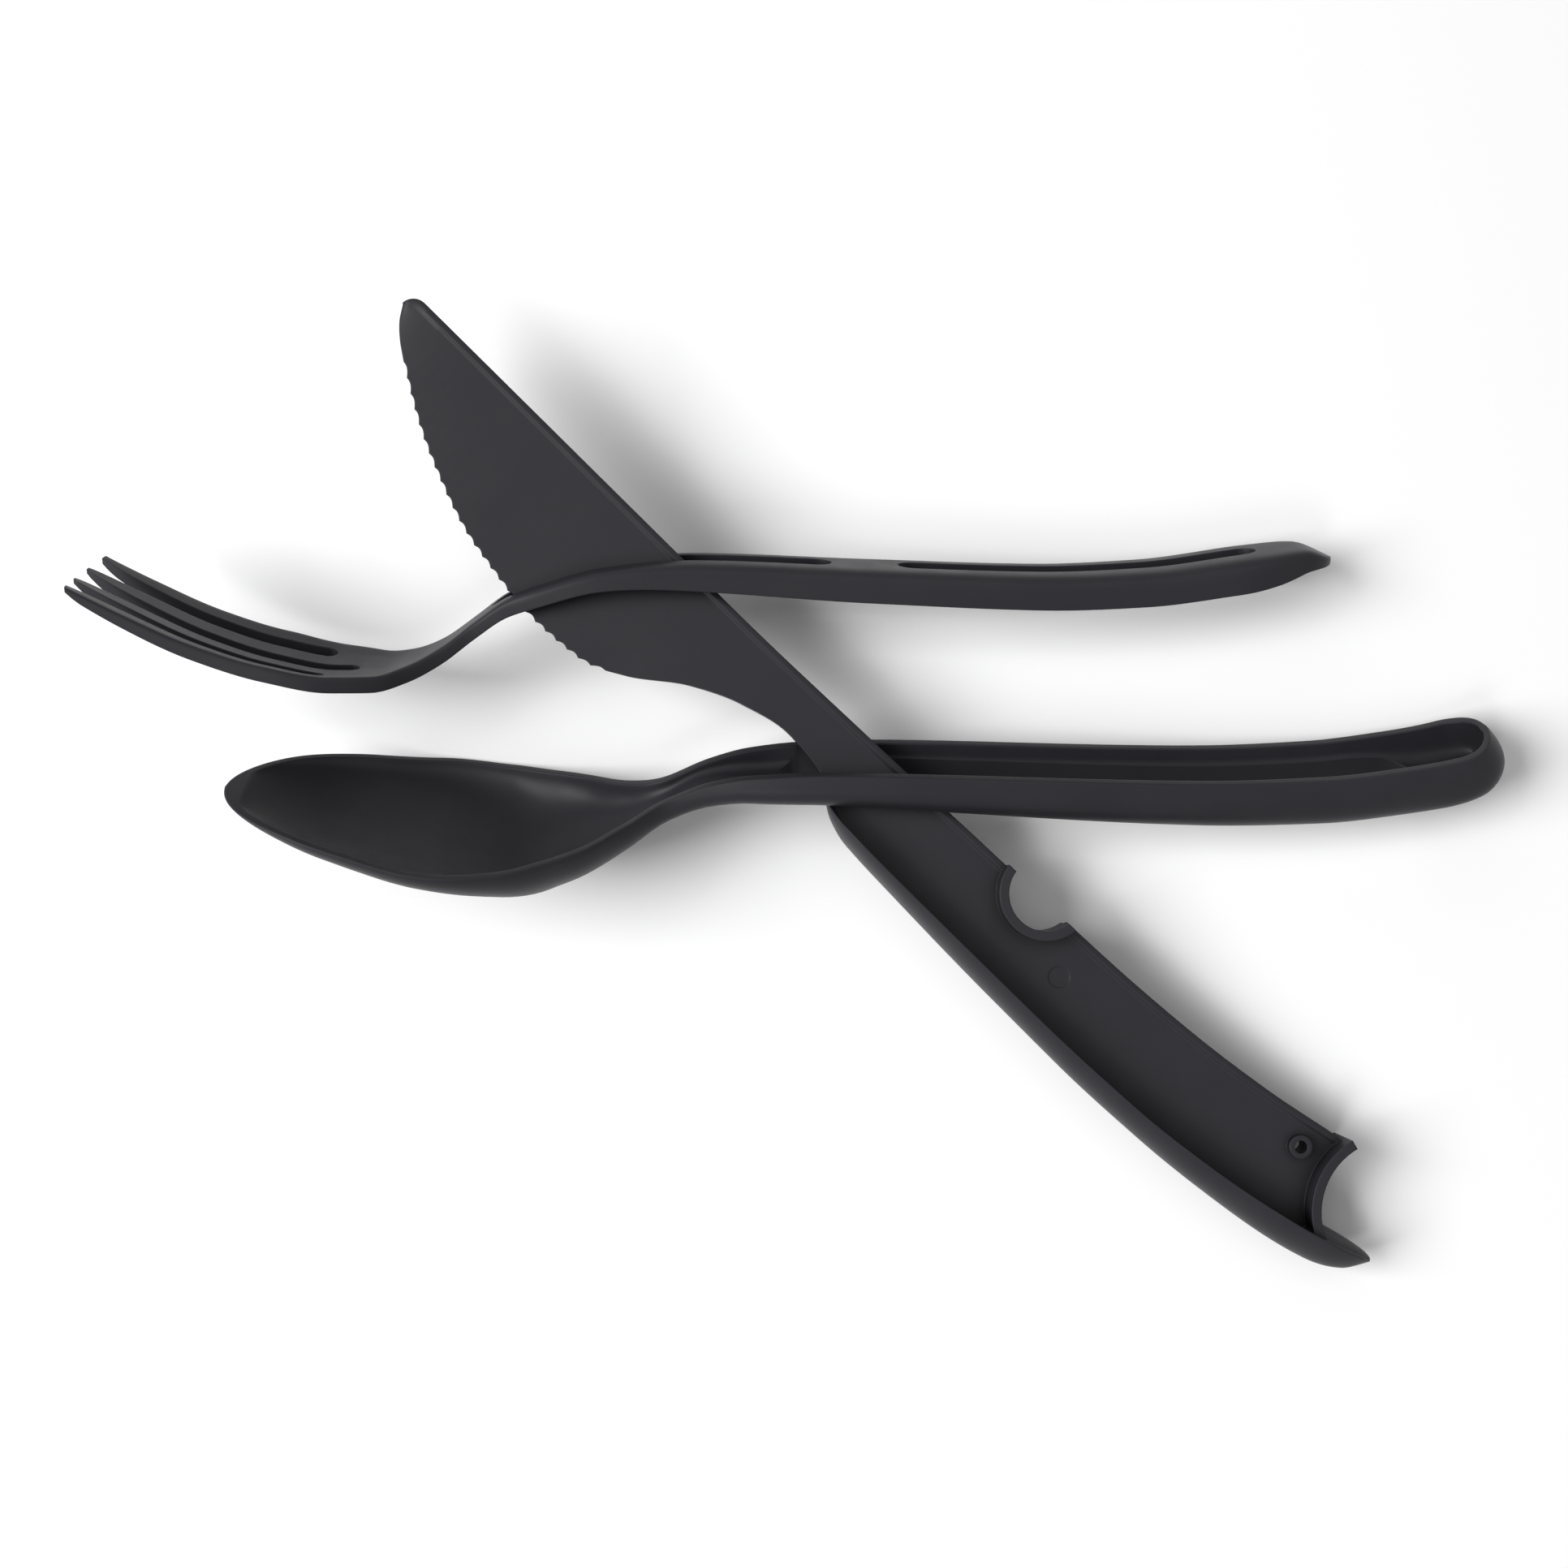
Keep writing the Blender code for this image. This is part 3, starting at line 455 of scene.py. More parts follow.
def build_spoon(collection, cutters):
    """An oval bowl that runs through a neck into an open channel with a long slot in its floor."""
    neck = BOWL_LENGTH
    end = SPOON_LENGTH
    widest = BOWL_WIDTH / 2
    handle = SPOON_HANDLE_WIDTH / 2
    taper = neck - BOWL_WIDEST
    height = smooth_curve(
        [
            (0, -2.4 * MM),
            (0.12 * neck, -3.15 * MM),
            (0.25 * neck, -4.6 * MM),
            (0.45 * neck, -6.9 * MM),
            (0.62 * neck, -7.5 * MM),
            (0.80 * neck, -6.6 * MM),
            (0.90 * neck, -5.2 * MM),
            (neck, -2.6 * MM),
            (neck + 6 * MM, 0.05 * MM),
            (neck + 12 * MM, 1.5 * MM),
            (neck + 25 * MM, 2.4 * MM),
            (end - 48 * MM, 1.3 * MM),
            (end - 30 * MM, 2.05 * MM),
            (end - 18 * MM, 3.7 * MM),
            (end - 6 * MM, 6.0 * MM),
            (end, 7.8 * MM),
        ]
    )
    width = smooth_curve(
        [
            (0, 0.70 * widest),
            (0.5 * BOWL_WIDEST, 0.83 * widest),
            (BOWL_WIDEST, widest),
            (BOWL_WIDEST + 0.27 * taper, 0.925 * widest),
            (BOWL_WIDEST + 0.45 * taper, 0.80 * widest),
            (BOWL_WIDEST + 0.63 * taper, 0.64 * widest),
            (BOWL_WIDEST + 0.81 * taper, 0.40 * widest),
            (neck, SPOON_NECK_WIDTH / 2),
            (neck + 17 * MM, 0.89 * handle),
            (neck + 35 * MM, 0.98 * handle),
            (neck + 60 * MM, handle),
            (end - 25 * MM, 1.03 * handle),
            (end, 1.05 * handle),
        ]
    )
    deep = smooth_curve(
        [
            (0, 0.24 * BOWL_DEPTH),
            (0.15 * neck, 0.44 * BOWL_DEPTH),
            (0.30 * neck, 0.59 * BOWL_DEPTH),
            (0.45 * neck, 0.70 * BOWL_DEPTH),
            (0.58 * neck, 0.87 * BOWL_DEPTH),
            (0.70 * neck, BOWL_DEPTH),
            (0.85 * neck, 0.71 * BOWL_DEPTH),
            (neck + 2 * MM, 4.2 * MM),
            (neck + 20 * MM, 5.6 * MM),
            (end - 40 * MM, 8.3 * MM),
            (end - 12 * MM, 8.8 * MM),
            (end, 7.0 * MM),
        ]
    )
    wall = smooth_curve([(neck - 10 * MM, BOWL_WALL), (neck + 10 * MM, SPOON_HANDLE_WALL)])
    floor = smooth_curve(
        [
            (neck - 16 * MM, BOWL_DEPTH),
            (neck + 4 * MM, 1.7 * MM),
            (neck + 16 * MM, SPOON_TROUGH_DEPTH),
            (end - 25 * MM, SPOON_TROUGH_DEPTH),
            (end - 12 * MM, 5.2 * MM),
            (end, 5.4 * MM),
        ]
    )

    def outer_depth(s):
        return deep(s) * round_off(s, 14 * MM) * round_off(end - s, 6 * MM)

    def lean(s, below):
        """How far the end wall slopes inwards at its rim, which leaves the wall bulging below it."""
        start = max(1 - (end - s) / SPOON_LEAN_RUN, 0.0)
        share = min(max(below / SPOON_LEAN_DROP, 0.0), 1.0)
        return SPOON_END_LEAN * (start * (1 - share)) ** 2

    shape = {
        "half": lambda s: width(s) * round_off(s, 20 * MM) * round_off(end - s, 9 * MM),
        "height": height,
        "depth": lambda s: -outer_depth(s),
        "trough": lambda s: -min(floor(s), max(outer_depth(s) - wall(s), 0.0)),
        "wall": wall,
        "square": smooth_curve([(neck - 16 * MM, 0), (neck + 12 * MM, 0.6)]),
        "bow": lambda s: 0.0,
        "lean": lean,
        "crown": smooth_curve(
            [(neck, 0.0), (neck + 20 * MM, WALL_CROWN), (end - 30 * MM, WALL_CROWN), (end - 10 * MM, 0.0)]
        ),
    }
    along = stations(0, end, 16 * MM, 14 * MM, SPOON_SECTIONS, SPOON_END_SECTIONS)
    spoon = channel("spoon", shape, along, SPOON_POINTS, collection)
    slot = slot_outline(
        SPOON_SLOT_START, SPOON_SLOT_END, SPOON_SLOT_WIDTH / 2, SPOON_SLOT_ROUND, SPOON_SLOT_ROUND
    )
    combine(spoon, prism("spoon_slot", slot, -CUT_REACH, CUT_REACH, cutters), "DIFFERENCE")
    return spoon


def gap_outline(middle, mouth_low, mouth_high, gap, root):
    """The space between two tines: parallel sides, a round root and a mouth that widens to the tips."""
    low = []
    high = []
    for i in range(TINE_STEPS + 1):
        t = i / TINE_STEPS
        opening = 1 - round_off(t, 1.0)
        s = TINE_POINT_LENGTH * t
        low.append((s, middle - gap / 2 + (mouth_low - middle + gap / 2) * opening))
        high.append((s, middle + gap / 2 + (mouth_high - middle - gap / 2) * opening))
    end = arc((root - gap / 2, middle), gap / 2, -90, 90, TINE_ROOT_STEPS)
    start = -1 * MM
    return [(start, mouth_low)] + low + end + high[::-1] + [(start, mouth_high)]


def cut_tines(fork, cutters):
    pitch = (FORK_HEAD_WIDTH - TINE_WIDTH) / (TINE_COUNT - 1)
    tip_pitch = pitch + 2 * TINE_SPREAD / (TINE_COUNT - 1)
    mouth = tip_pitch - TINE_POINT_WIDTH
    for i in range(TINE_COUNT - 1):
        place = i - (TINE_COUNT - 2) / 2
        low = place * tip_pitch - mouth / 2
        root = TINE_LENGTH - abs(place) * TINE_ROOT_STEP
        points = gap_outline(place * pitch, low, low + mouth, pitch - TINE_WIDTH, root)
        cutter = prism(f"tine_gap_{i + 1}", points, -CUT_REACH, CUT_REACH, cutters)
        combine(fork, cutter, "DIFFERENCE")
    edge = 0.6 * FORK_HEAD_WIDTH
    across = np.linspace(-edge, edge, TIP_ARC_POINTS)
    arc_points = [(4 * TIP_ARC * (y / FORK_HEAD_WIDTH) ** 2, y) for y in across]
    beyond = [(-2 * MM, edge), (-2 * MM, -edge)]
    cutter = prism("tip_arc", arc_points + beyond, -CUT_REACH, CUT_REACH, cutters)
    combine(fork, cutter, "DIFFERENCE")


def turned(turn):
    rx, ry, rz = (Matrix.Rotation(angle, 3, axis) for angle, axis in zip(turn, "XYZ"))
    return rz @ ry @ rx


def fork_slot_width():
    """Room for the knife's ribbed spine where it passes at a slant through the top of the fork."""
    web_normal = turned(KNIFE_TURN).col[2]
    fork = turned(FORK_TURN)
    across, up = (abs(web_normal.dot(fork.col[i])) for i in (1, 2))
    return (WEB_THICKNESS + 2 * RIB_HEIGHT + 3 * CLEARANCE + up * FORK_WALL) / across


def cut_fork_slots(fork, cutters):
    bridge_end = FORK_BRIDGE_START + FORK_BRIDGE_LENGTH
    spans = (
        (FORK_SLOT_START, FORK_BRIDGE_START, FORK_SLOT_TAPER),
        (bridge_end, FORK_SLOT_END, FORK_SLOT_ROUND),
    )
    for i, (first, last, start_round) in enumerate(spans):
        points = slot_outline(first, last, fork_slot_width() / 2, start_round, FORK_SLOT_ROUND)
        cutter = prism(f"fork_slot_{i + 1}", points, -CUT_REACH, CUT_REACH, cutters)
        combine(fork, cutter, "DIFFERENCE")


def build_fork(collection, cutters):
    """A slightly dished four-tined head, a thin neck and an arched handle with two long slots."""
    end = FORK_LENGTH
    head = FORK_HEAD_WIDTH / 2
    handle = FORK_HANDLE_WIDTH / 2
    top = smooth_curve(
        [
            (0, 0.15 * MM),
            (3 * MM, -1.45 * MM),
            (8 * MM, -4.15 * MM),
            (18 * MM, -9.1 * MM),
            (28 * MM, -12.5 * MM),
            (37 * MM, -14.1 * MM),
            (43 * MM, -14.05 * MM),
            (48 * MM, -12.5 * MM),
            (53 * MM, -9.9 * MM),
            (58 * MM, -6.2 * MM),
            (63 * MM, -2.6 * MM),
            (68 * MM, -0.6 * MM),
            (77 * MM, 2.0 * MM),
            (91 * MM, 3.25 * MM),
            (116.6 * MM, 2.45 * MM),
            (end - 44 * MM, 1.8 * MM),
            (end - 29 * MM, 2.5 * MM),
            (end - 12 * MM, 4.9 * MM),
            (end - 5 * MM, 5.65 * MM),
            (end, 4.0 * MM),
        ]
    )
    thick = smooth_curve(
        [
            (0, 0.6 * MM),
            (3 * MM, 0.65 * HEAD_THICKNESS),
            (15 * MM, 0.95 * HEAD_THICKNESS),
            (TINE_LENGTH, HEAD_THICKNESS),
            (58 * MM, 0.96 * HEAD_THICKNESS),
            (67 * MM, 2.9 * MM),
            (78 * MM, 3.1 * MM),
            (91 * MM, 4.1 * MM),
            (121 * MM, 4.9 * MM),
            (end - 15 * MM, 5.2 * MM),
            (end - 9 * MM, 4.6 * MM),
            (end - 4 * MM, 3.0 * MM),
            (end, 1.0 * MM),
        ]
    )
    width = smooth_curve(
        [
            (0, 0.985 * head),
            (13 * MM, head),
            (28 * MM, head),
            (34 * MM, 0.96 * head),
            (39 * MM, 0.865 * head),
            (44 * MM, 0.715 * head),
            (48.5 * MM, 0.505 * head),
            (53 * MM, 0.34 * head),
            (57.5 * MM, FORK_NECK_WIDTH / 2),
            (62 * MM, 0.64 * handle),
            (68 * MM, 0.83 * handle),
            (77 * MM, 0.965 * handle),
            (89 * MM, handle),
            (end, 1.25 * handle),
        ]
    )
    top_wall = smooth_curve([(61 * MM, 3.0 * MM), (67 * MM, FORK_WALL)])
    dish = HEAD_DISH / head**2
    bow = smooth_curve([(0, 0.6 * dish), (35 * MM, dish), (43 * MM, dish), (54 * MM, 0)])
    shape = {
        "half": lambda s: width(s) * round_off(end - s, 15 * MM),
        "height": lambda s: top(s) - thick(s),
        "depth": thick,
        "trough": lambda s: max(thick(s) - top_wall(s), 0.0),
        "wall": lambda s: FORK_WALL,
        "square": smooth_curve([(51 * MM, 2), (67 * MM, 1)]),
        "bow": bow,
        "lean": lambda s, below: 0.0,
        "crown": lambda s: 0.0,
    }
    along = stations(0, end, 2 * MM, 14 * MM, FORK_SECTIONS, FORK_END_SECTIONS)
    fork = channel("fork", shape, along, FORK_POINTS, collection, open_start=True)
    cut_tines(fork, cutters)
    cut_fork_slots(fork, cutters)
    return fork


def spine_line():
    """Height of the knife's spine over its own X axis."""
    return smooth_curve(
        [
            (0, SPINE_HEIGHT),
            (68 * MM, SPINE_HEIGHT),
            (96 * MM, 5.25 * MM),
            (125 * MM, 6.1 * MM),
            (145 * MM, 6.75 * MM),
            (160 * MM, 7.8 * MM),
            (174 * MM, 9.6 * MM),
            (KNIFE_LENGTH - 16 * MM, 12.1 * MM),
            (KNIFE_LENGTH, 15.0 * MM),
        ]
    )


def cap_back_line():
    """The line along the outside of the cap that closes the knife's handle below."""
    return smooth_curve(
        [
            (CAP_START, -5.9 * MM),
            (CAP_START + 3 * MM, -7.6 * MM),
            (CAP_START + 7 * MM, -8.6 * MM),
            (115 * MM, -9.05 * MM),
            (135 * MM, -9.5 * MM),
            (150 * MM, -9.55 * MM),
            (166 * MM, -8.9 * MM),
            (181 * MM, -7.3 * MM),
            (KNIFE_LENGTH - 7.3 * MM, -4.2 * MM),
            (KNIFE_LENGTH - 2.4 * MM, -1.4 * MM),
            (KNIFE_LENGTH, 2.4 * MM),
        ]
    )


def cap_rim_line():
    """The line along both rims of that cap."""
    return smooth_curve(
        [
            (CAP_START, -5.9 * MM),
            (CAP_START + 5 * MM, -6.8 * MM),
            (113 * MM, -7.0 * MM),
            (143 * MM, -6.85 * MM),
            (162 * MM, -6.1 * MM),
            (175 * MM, -4.6 * MM),
            (KNIFE_LENGTH - 12 * MM, -1.4 * MM),
            (KNIFE_LENGTH, 2.4 * MM),
        ]
    )


def build_web(collection):
    """The knife's blade, neck and web as one loft, with teeth along the edge and a rib along the spine."""
    spine = spine_line()
    back = cap_back_line()
    half = WEB_THICKNESS / 2
    edge = smooth_curve(
        [
            (0, 2.2 * MM),
            (1.5 * MM, 0.0),
            (6.7 * MM, -4.1 * MM),
            (20 * MM, -11.4 * MM),
            (34 * MM, -16.0 * MM),
            (48 * MM, -BLADE_BELLY),
            (57 * MM, -16.9 * MM),
            (63.5 * MM, -13.9 * MM),
            (71.5 * MM, -8.1 * MM),
            (79 * MM, -4.6 * MM),
            (87 * MM, -NECK_DROP),
            (94 * MM, -3.4 * MM),
            (CAP_START, back(CAP_START) + CAP_WALL / 2),
        ]
    )
    half_edge = smooth_curve([(62 * MM, EDGE_THICKNESS / 2), (80 * MM, half)])
    first_tooth = 6.3 * MM
    teeth = round((TOOTHED_LENGTH - first_tooth) / TOOTH_PITCH)
    tip_round = 2.5 * MM
    along = [tip_round * t**2 for t in np.linspace(0, 1.3, BLADE_TIP_SECTIONS)]
    places = range(teeth * TOOTH_SECTIONS + 1)
    along += [first_tooth + TOOTH_PITCH * i / TOOTH_SECTIONS for i in places]
    along += list(np.linspace(along[-1], CAP_START, NECK_SECTIONS)[1:])
    along += list(np.linspace(CAP_START, KNIFE_LENGTH - 2 * MM, HANDLE_SECTIONS)[1:])
    rises = [i / WEB_STEPS for i in range(WEB_STEPS)]
    rows = []
    for s in along:
        phase = (s - first_tooth) / TOOTH_PITCH
        scallop = abs(math.sin(math.pi * phase)) if 0 <= phase <= teeth else 0.0
        low = edge(s) + TOOTH_DEPTH * scallop
        if s > CAP_START:
            low = back(s) + CAP_WALL / 2
        high = edge(0) + (spine(s) - edge(0)) * round_off(s + 0.02 * MM, tip_round)
        rib = min(RIB_WIDTH, 0.3 * (high - low))
        rise = RIB_HEIGHT * round_off(s, 8 * MM)
        foot = high - 1.5 * rib
        levels = [
            *((low + (foot - low) * t, half_edge(s) + (half - half_edge(s)) * t) for t in rises),
            (foot, half),
            (high - rib, half + rise),
            (high - 0.25 * rib, half + rise),
            (high, half + 0.7 * rise),
        ]
        rows.append([(s, y, z) for y, z in levels] + [(s, y, -z) for y, z in reversed(levels)])
    bm = bmesh.new()
    add_rings(bm, rows)
    return mesh_object("knife", bm, collection)


def build_cap(helpers):
    """The half-pipe that stiffens the handle: a trough with a pointed start and a solid pointed nose."""
    back = cap_back_line()
    rim = cap_rim_line()
    end = KNIFE_LENGTH
    nose = end - NOSE_LENGTH
    outer = []
    inner = []
    along = stations(CAP_START, end, 8 * MM, 12 * MM, CAP_SECTIONS, CAP_END_SECTIONS)
    for s in along:
        pointed = round_off(s - CAP_START, 10 * MM) * round_off(end - s, 14 * MM)
        half = CAP_HALF_DEPTH * pointed
        sag = rim(s) - back(s)
        trough = (sag - CAP_WALL) * min(1.0, 3 * pointed)
        if s > nose:
            trough = -NOSE_CROWN * round_off(end - s, NOSE_LENGTH)
        edge = min(0.7 * CAP_WALL, 0.4 * half)
        if s in (along[0], along[-1]):
            half = sag = trough = edge = 0.0
        outer_row = []
        inner_row = []
        for j in range(CAP_POINTS):
            v = -math.cos(math.pi * j / (CAP_POINTS - 1))
            arch = 0.0 if j in (0, CAP_POINTS - 1) else 2 * math.sqrt(1 - 0.75 * v * v) - 1
            outer_row.append((s, rim(s) - sag * arch, half * v))
            inner_row.append((s, rim(s) - trough * arch, (half - edge) * v))
        outer.append(outer_row)
        inner.append(inner_row)
    bm = bmesh.new()
    add_shell(bm, outer, inner)
    return mesh_object("knife_cap", bm, helpers)


def build_knife(collection, cutters):
    """Blade and web, cut by the notch and the round end, with the walls, the cap and the boss joined on."""
    knife = build_web(collection)
    spine = spine_line()(NOTCH_PLACE)
    notch = (NOTCH_PLACE, spine + 0.7 * MM)
    ring = NOTCH_RADIUS + INNER_WALL
    reach = INNER_WALL_REACH
    through = 2 * CAP_HALF_DEPTH
    swing = math.degrees(math.asin((notch[1] - spine + 0.1 * MM) / ring))
    cup = arc(notch, ring, 180 + swing, 360 - swing, NOTCH_WALL_STEPS)
    combine(knife, prism("notch_wall", cup, -reach, reach, cutters), "UNION")
    bore = cylinder("notch_cut", notch, NOTCH_RADIUS, -through, through, NOTCH_SIDES, cutters)
    combine(knife, bore, "DIFFERENCE")
    beyond = arc(END_CENTRE, END_RADIUS + 0.5 * INNER_WALL, 130, 300, END_CUT_STEPS)
    beyond.append((KNIFE_LENGTH + 5 * MM, 30 * MM))
    combine(knife, prism("end_cut", beyond, -through, through, cutters), "DIFFERENCE")
    wall = arc(END_CENTRE, END_RADIUS + INNER_WALL, 165, 246, END_WALL_STEPS)
    wall += arc(END_CENTRE, END_RADIUS, 246, 165, END_WALL_STEPS)
    combine(knife, prism("end_wall", wall, -reach, reach, cutters), "UNION")
    combine(knife, build_cap(cutters), "UNION")
    tall = WEB_THICKNESS / 2 + BOSS_REACH
    boss = cylinder("boss", BOSS_CENTRE, BOSS_RADIUS, -tall, tall, BOSS_SIDES, cutters)
    combine(knife, boss, "UNION")
    bore = cylinder("boss_bore", BOSS_CENTRE, BOSS_BORE, -through, through, BORE_SIDES, cutters)
    combine(knife, bore, "DIFFERENCE")
    floor = WEB_THICKNESS / 2 - MARK_DEPTH
    mark = cylinder("mould_mark", MARK_CENTRE, MARK_RADIUS, floor, through, MARK_SIDES, cutters)
    combine(knife, mark, "DIFFERENCE")
    return knife


def place(obj, turn, crossing, position, shift, parent):
    """Puts the crossing station of the object's X axis where the knife's web passes the given place.

    The shift then moves the object across itself, so that the web lies to one side in its slot.
    """
    rotation = turned(turn)
    normal = turned(KNIFE_TURN).col[2]
    x, y = position
    rise = -(normal.x * (x - KNIFE_PLACE[0]) + normal.y * (y - KNIFE_PLACE[1])) / normal.z
    obj.parent = parent
    obj.rotation_euler = rotation.to_euler("XYZ")
    obj.location = Vector((x, y, rise)) + rotation @ Vector((-crossing, shift, 0))


def plastic(name, seed):
    """Dark satin moulded plastic.

    It has a fine grain, faint flow marks, an uneven gloss, paler worn edges, and painted shade: its base
    colour is darkened in crevices and recesses where ambient occlusion finds it closed in.
    """
    material = bpy.data.materials.new(name)
    material.use_nodes = True
    nodes = material.node_tree.nodes
    links = material.node_tree.links
    shader = nodes["Principled BSDF"]
    shader.inputs["Specular IOR Level"].default_value = SPECULAR
    coordinates = nodes.new("ShaderNodeTexCoord")
    shift = nodes.new("ShaderNodeMapping")
    shift.inputs["Location"].default_value = (seed, 2 * seed, 3 * seed)
    links.new(coordinates.outputs["Object"], shift.inputs["Vector"])

    def noise(scale, detail):
        node = nodes.new("ShaderNodeTexNoise")
        node.inputs["Scale"].default_value = scale
        node.inputs["Detail"].default_value = detail
        links.new(shift.outputs["Vector"], node.inputs["Vector"])
        return node.outputs["Fac"]

    def spread(source, span, first, last):
        node = nodes.new("ShaderNodeMapRange")
        node.inputs["From Min"].default_value, node.inputs["From Max"].default_value = span
        node.inputs["To Min"].default_value = first
        node.inputs["To Max"].default_value = last
        links.new(source, node.inputs["Value"])
        return node.outputs["Result"]

    def colour_mix(factor):
        node = nodes.new("ShaderNodeMix")
        node.data_type = "RGBA"
        links.new(factor, node.inputs["Factor"])
        return node

    def bump(height, strength, distance, normal):
        node = nodes.new("ShaderNodeBump")
        node.inputs["Strength"].default_value = strength
        node.inputs["Distance"].default_value = distance
        links.new(height, node.inputs["Height"])
        links.new(normal, node.inputs["Normal"])
        return node.outputs["Normal"]

    rounded = nodes.new("ShaderNodeBevel")
    rounded.samples = 6
    rounded.inputs["Radius"].default_value = BEVEL
    flat = nodes.new("ShaderNodeNewGeometry")
    turn = nodes.new("ShaderNodeVectorMath")
    turn.operation = "DOT_PRODUCT"
    links.new(rounded.outputs["Normal"], turn.inputs[0])
    links.new(flat.outputs["Normal"], turn.inputs[1])
    # Painted shade: ambient occlusion over this reach picks out the closed-in places whose base colour is
    # darkened
    occlusion = nodes.new("ShaderNodeAmbientOcclusion")
    occlusion.samples = 8
    occlusion.inputs["Distance"].default_value = PAINTED_SHADE_REACH

    tone = colour_mix(spread(noise(TONE_SCALE, 3.0), NOISE_SPAN, 0.0, 1.0))
    tone.inputs["A"].default_value = PLASTIC_DEEP
    tone.inputs["B"].default_value = PLASTIC
    worn = colour_mix(spread(turn.outputs["Value"], BEVEL_TURN, 0.0, 1.0))
    links.new(tone.outputs["Result"], worn.inputs["A"])
    worn.inputs["B"].default_value = PLASTIC_EDGE
    # Painted shade: base colour darkened towards near-black where the occlusion is low
    painted_shade = colour_mix(spread(occlusion.outputs["AO"], PAINTED_SHADE_OPENING, 0.0, 1.0))
    painted_shade.inputs["A"].default_value = PLASTIC_PAINTED_SHADE
    links.new(worn.outputs["Result"], painted_shade.inputs["B"])
    links.new(painted_shade.outputs["Result"], shader.inputs["Base Color"])

    low = ROUGHNESS - ROUGHNESS_SWING
    high = ROUGHNESS + ROUGHNESS_SWING
    broad = spread(noise(GLOSS_SCALE, 4.0), NOISE_SPAN, low, high)
    fine = spread(
        noise(FINE_GLOSS_SCALE, 2.0), NOISE_SPAN, -FINE_ROUGHNESS_SWING, FINE_ROUGHNESS_SWING
    )
    gloss = nodes.new("ShaderNodeMath")
    gloss.operation = "ADD"
    links.new(broad, gloss.inputs[0])
    links.new(fine, gloss.inputs[1])
    links.new(gloss.outputs["Value"], shader.inputs["Roughness"])

    grain = bump(noise(GRAIN_SCALE, 3.0), GRAIN_STRENGTH, GRAIN_HEIGHT, rounded.outputs["Normal"])
    waves = bump(noise(WAVE_SCALE, 1.0), WAVE_STRENGTH, WAVE_HEIGHT, grain)
    links.new(waves, shader.inputs["Normal"])
    return material


def settle(obj, name, node, seed):
    """Turns a built piece into a plain mesh in its place on the floor, and lets it stand for its node."""
    graph = bpy.context.evaluated_depsgraph_get()
    mesh = bpy.data.meshes.new_from_object(obj.evaluated_get(graph))
    mesh.transform(obj.matrix_world)
    mesh.shade_smooth()
    mesh.set_sharp_from_angle(angle=SHARP_EDGE)
    mesh.materials.clear()
    mesh.materials.append(plastic(name + "_finish", seed))
    piece = bpy.data.objects.new(name, mesh)
    bpy.context.scene.collection.objects.link(piece)
    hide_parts(node)
    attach(piece, "root")


def add_cutlery():
    """The three pieces, threaded together on their parent as in the CAD model, then settled."""
    collection = new_collection(COLLECTION, bpy.context.scene.collection)
    cutters = new_collection(COLLECTION + "_cutters", collection)
    pack = bpy.data.objects.new(COLLECTION, None)
    collection.objects.link(pack)
    pack.rotation_euler = SEAT_TURN
    pack.location = SEAT_PLACE
    fork = build_fork(collection, cutters)
    knife = build_knife(collection, cutters)
    spoon = build_spoon(collection, cutters)
    place(fork, FORK_TURN, FORK_CROSSING, FORK_PLACE, FORK_SHIFT, pack)
    place(knife, KNIFE_TURN, KNIFE_CROSSING, KNIFE_PLACE, 0.0, pack)
    place(spoon, SPOON_TURN, SPOON_CROSSING, SPOON_PLACE, SPOON_SHIFT, pack)
    bpy.context.view_layer.update()
    for i, (obj, node) in enumerate(((fork, "fork"), (knife, "knife"), (spoon, "spoon"))):
        settle(obj, "fine_" + node, node, SEED_STEP * (i + 1))
    for group in (cutters, collection):
        for obj in list(group.objects):
            bpy.data.objects.remove(obj)
        bpy.data.collections.remove(group)


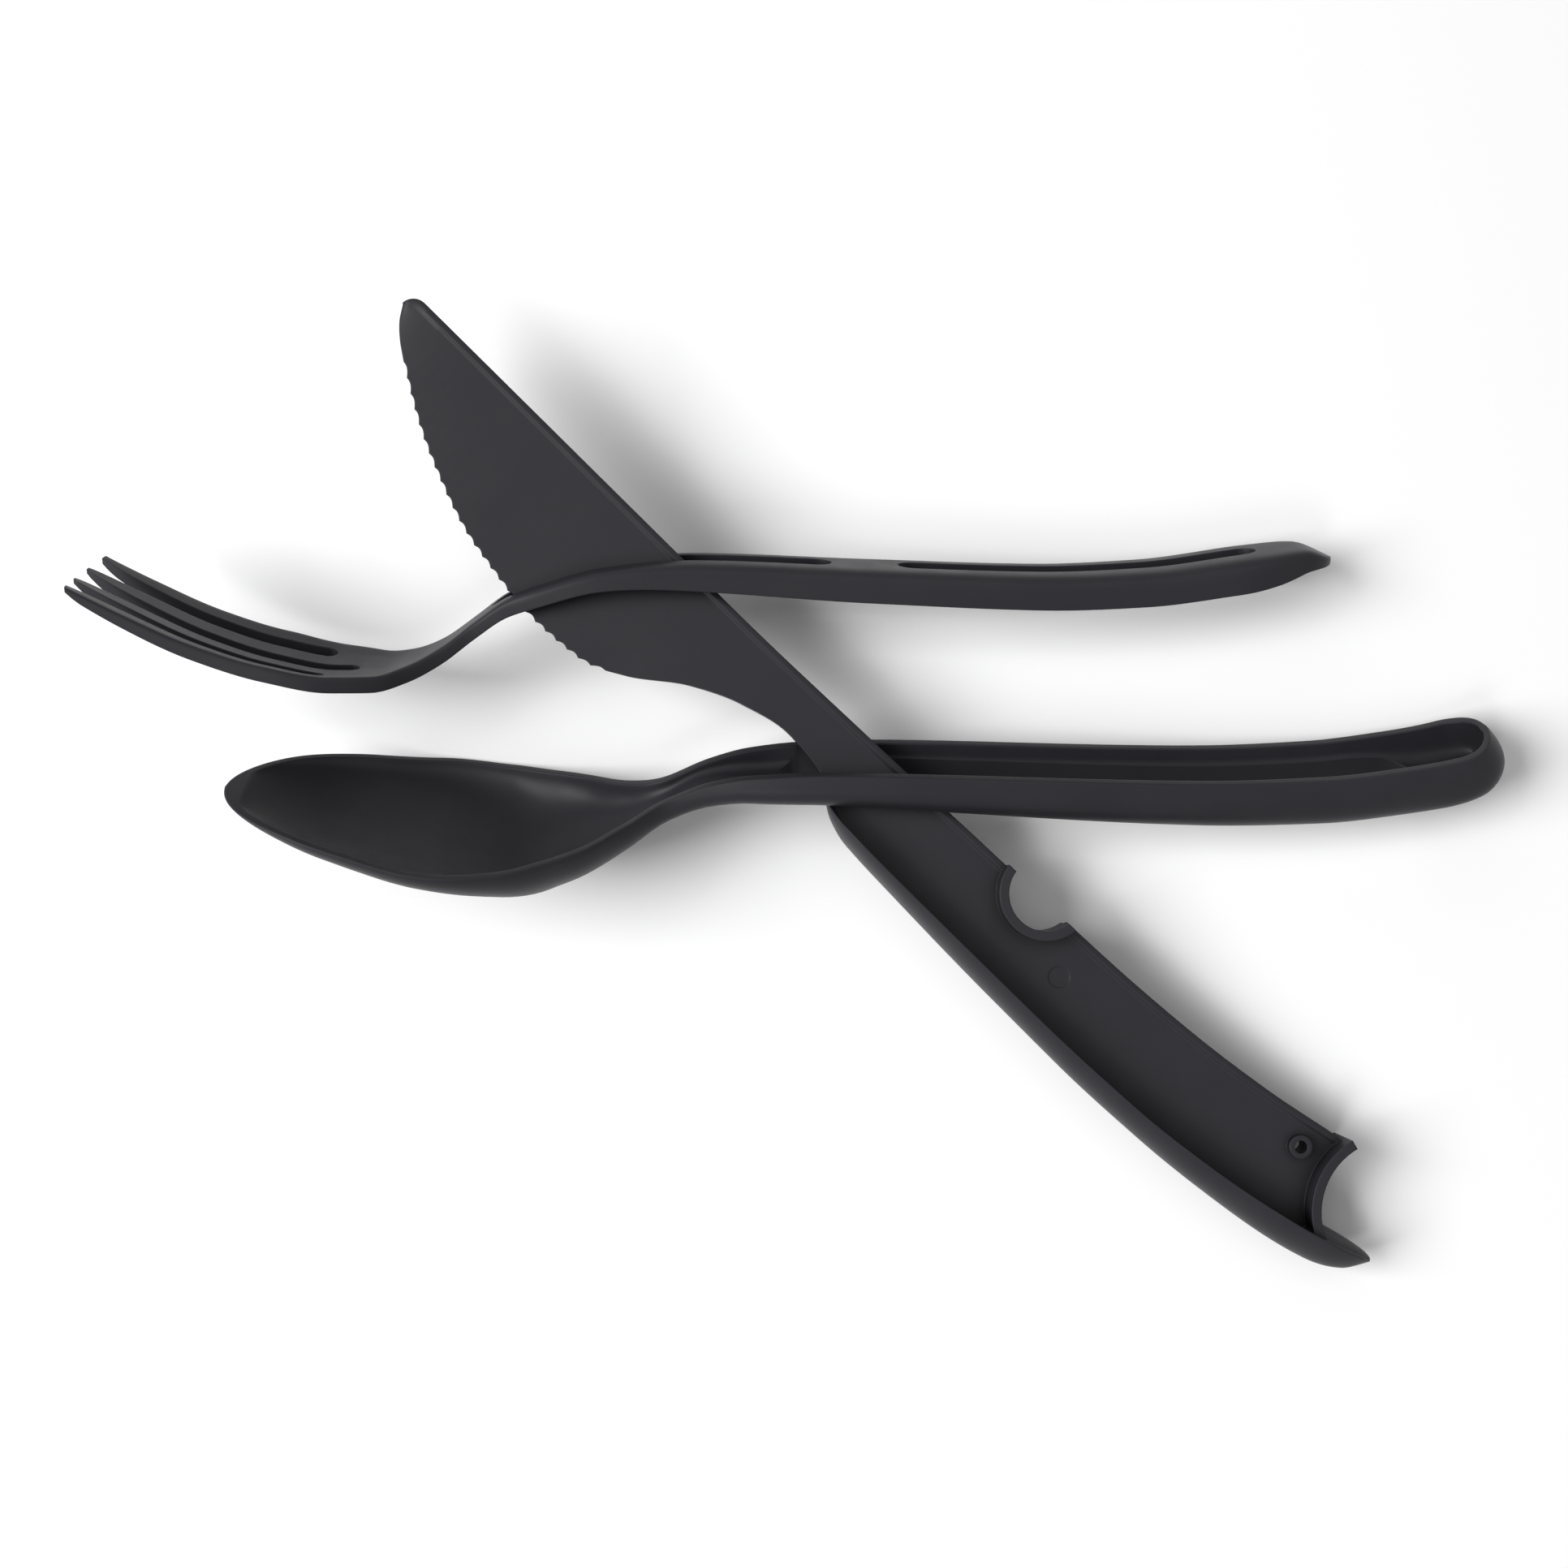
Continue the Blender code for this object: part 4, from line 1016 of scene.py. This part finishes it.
def add_floor():
    bpy.ops.mesh.primitive_plane_add(size=FLOOR_SIZE, location=(0, 0, 0))
    floor = bpy.context.object
    floor.name = "floor"
    material = bpy.data.materials.new("floor")
    material.use_nodes = True
    shader = material.node_tree.nodes["Principled BSDF"]
    shader.inputs["Base Color"].default_value = FLOOR_COLOUR
    shader.inputs["Roughness"].default_value = FLOOR_ROUGHNESS
    shader.inputs["Specular IOR Level"].default_value = FLOOR_SPECULAR
    floor.data.materials.append(material)


def add_light(name, place, size, power):
    data = bpy.data.lights.new(name, "AREA")
    data.shape = "RECTANGLE"
    data.size, data.size_y = size
    data.energy = power
    light = bpy.data.objects.new(name, data)
    bpy.context.scene.collection.objects.link(light)
    light.location = place
    light.rotation_euler = (-Vector(place)).to_track_quat("-Z", "Y").to_euler()


def add_world():
    """A dim white studio, whose backdrop is full white to the camera and in reflections."""
    world = bpy.data.worlds.new("studio")
    bpy.context.scene.world = world
    world.use_nodes = True
    nodes = world.node_tree.nodes
    links = world.node_tree.links
    background = nodes["Background"]
    background.inputs["Color"].default_value = (1.0, 1.0, 1.0, 1.0)
    path = nodes.new("ShaderNodeLightPath")
    seen = path.outputs["Is Camera Ray"]
    for ray in ("Is Glossy Ray", "Is Transmission Ray"):
        either = nodes.new("ShaderNodeMath")
        either.operation = "MAXIMUM"
        links.new(seen, either.inputs[0])
        links.new(path.outputs[ray], either.inputs[1])
        seen = either.outputs["Value"]
    strength = nodes.new("ShaderNodeMapRange")
    strength.inputs["To Min"].default_value = WORLD_STRENGTH
    strength.inputs["To Max"].default_value = BACKDROP_STRENGTH
    links.new(seen, strength.inputs["Value"])
    links.new(strength.outputs["Result"], background.inputs["Strength"])


def add_camera():
    data = bpy.data.cameras.new("camera")
    data.sensor_fit = "HORIZONTAL"
    data.angle = CAMERA_FIELD
    data.clip_start = 1 * MM
    camera = bpy.data.objects.new("camera", data)
    bpy.context.scene.collection.objects.link(camera)
    camera.location = CAMERA_PLACE
    camera.rotation_euler = SEAT_TURN
    bpy.context.scene.camera = camera


add_cutlery()
add_floor()
for name, light_place, size, power in LIGHTS:
    add_light(name, light_place, size, power)
add_world()
add_camera()
bpy.context.scene.view_settings.view_transform = "Standard"
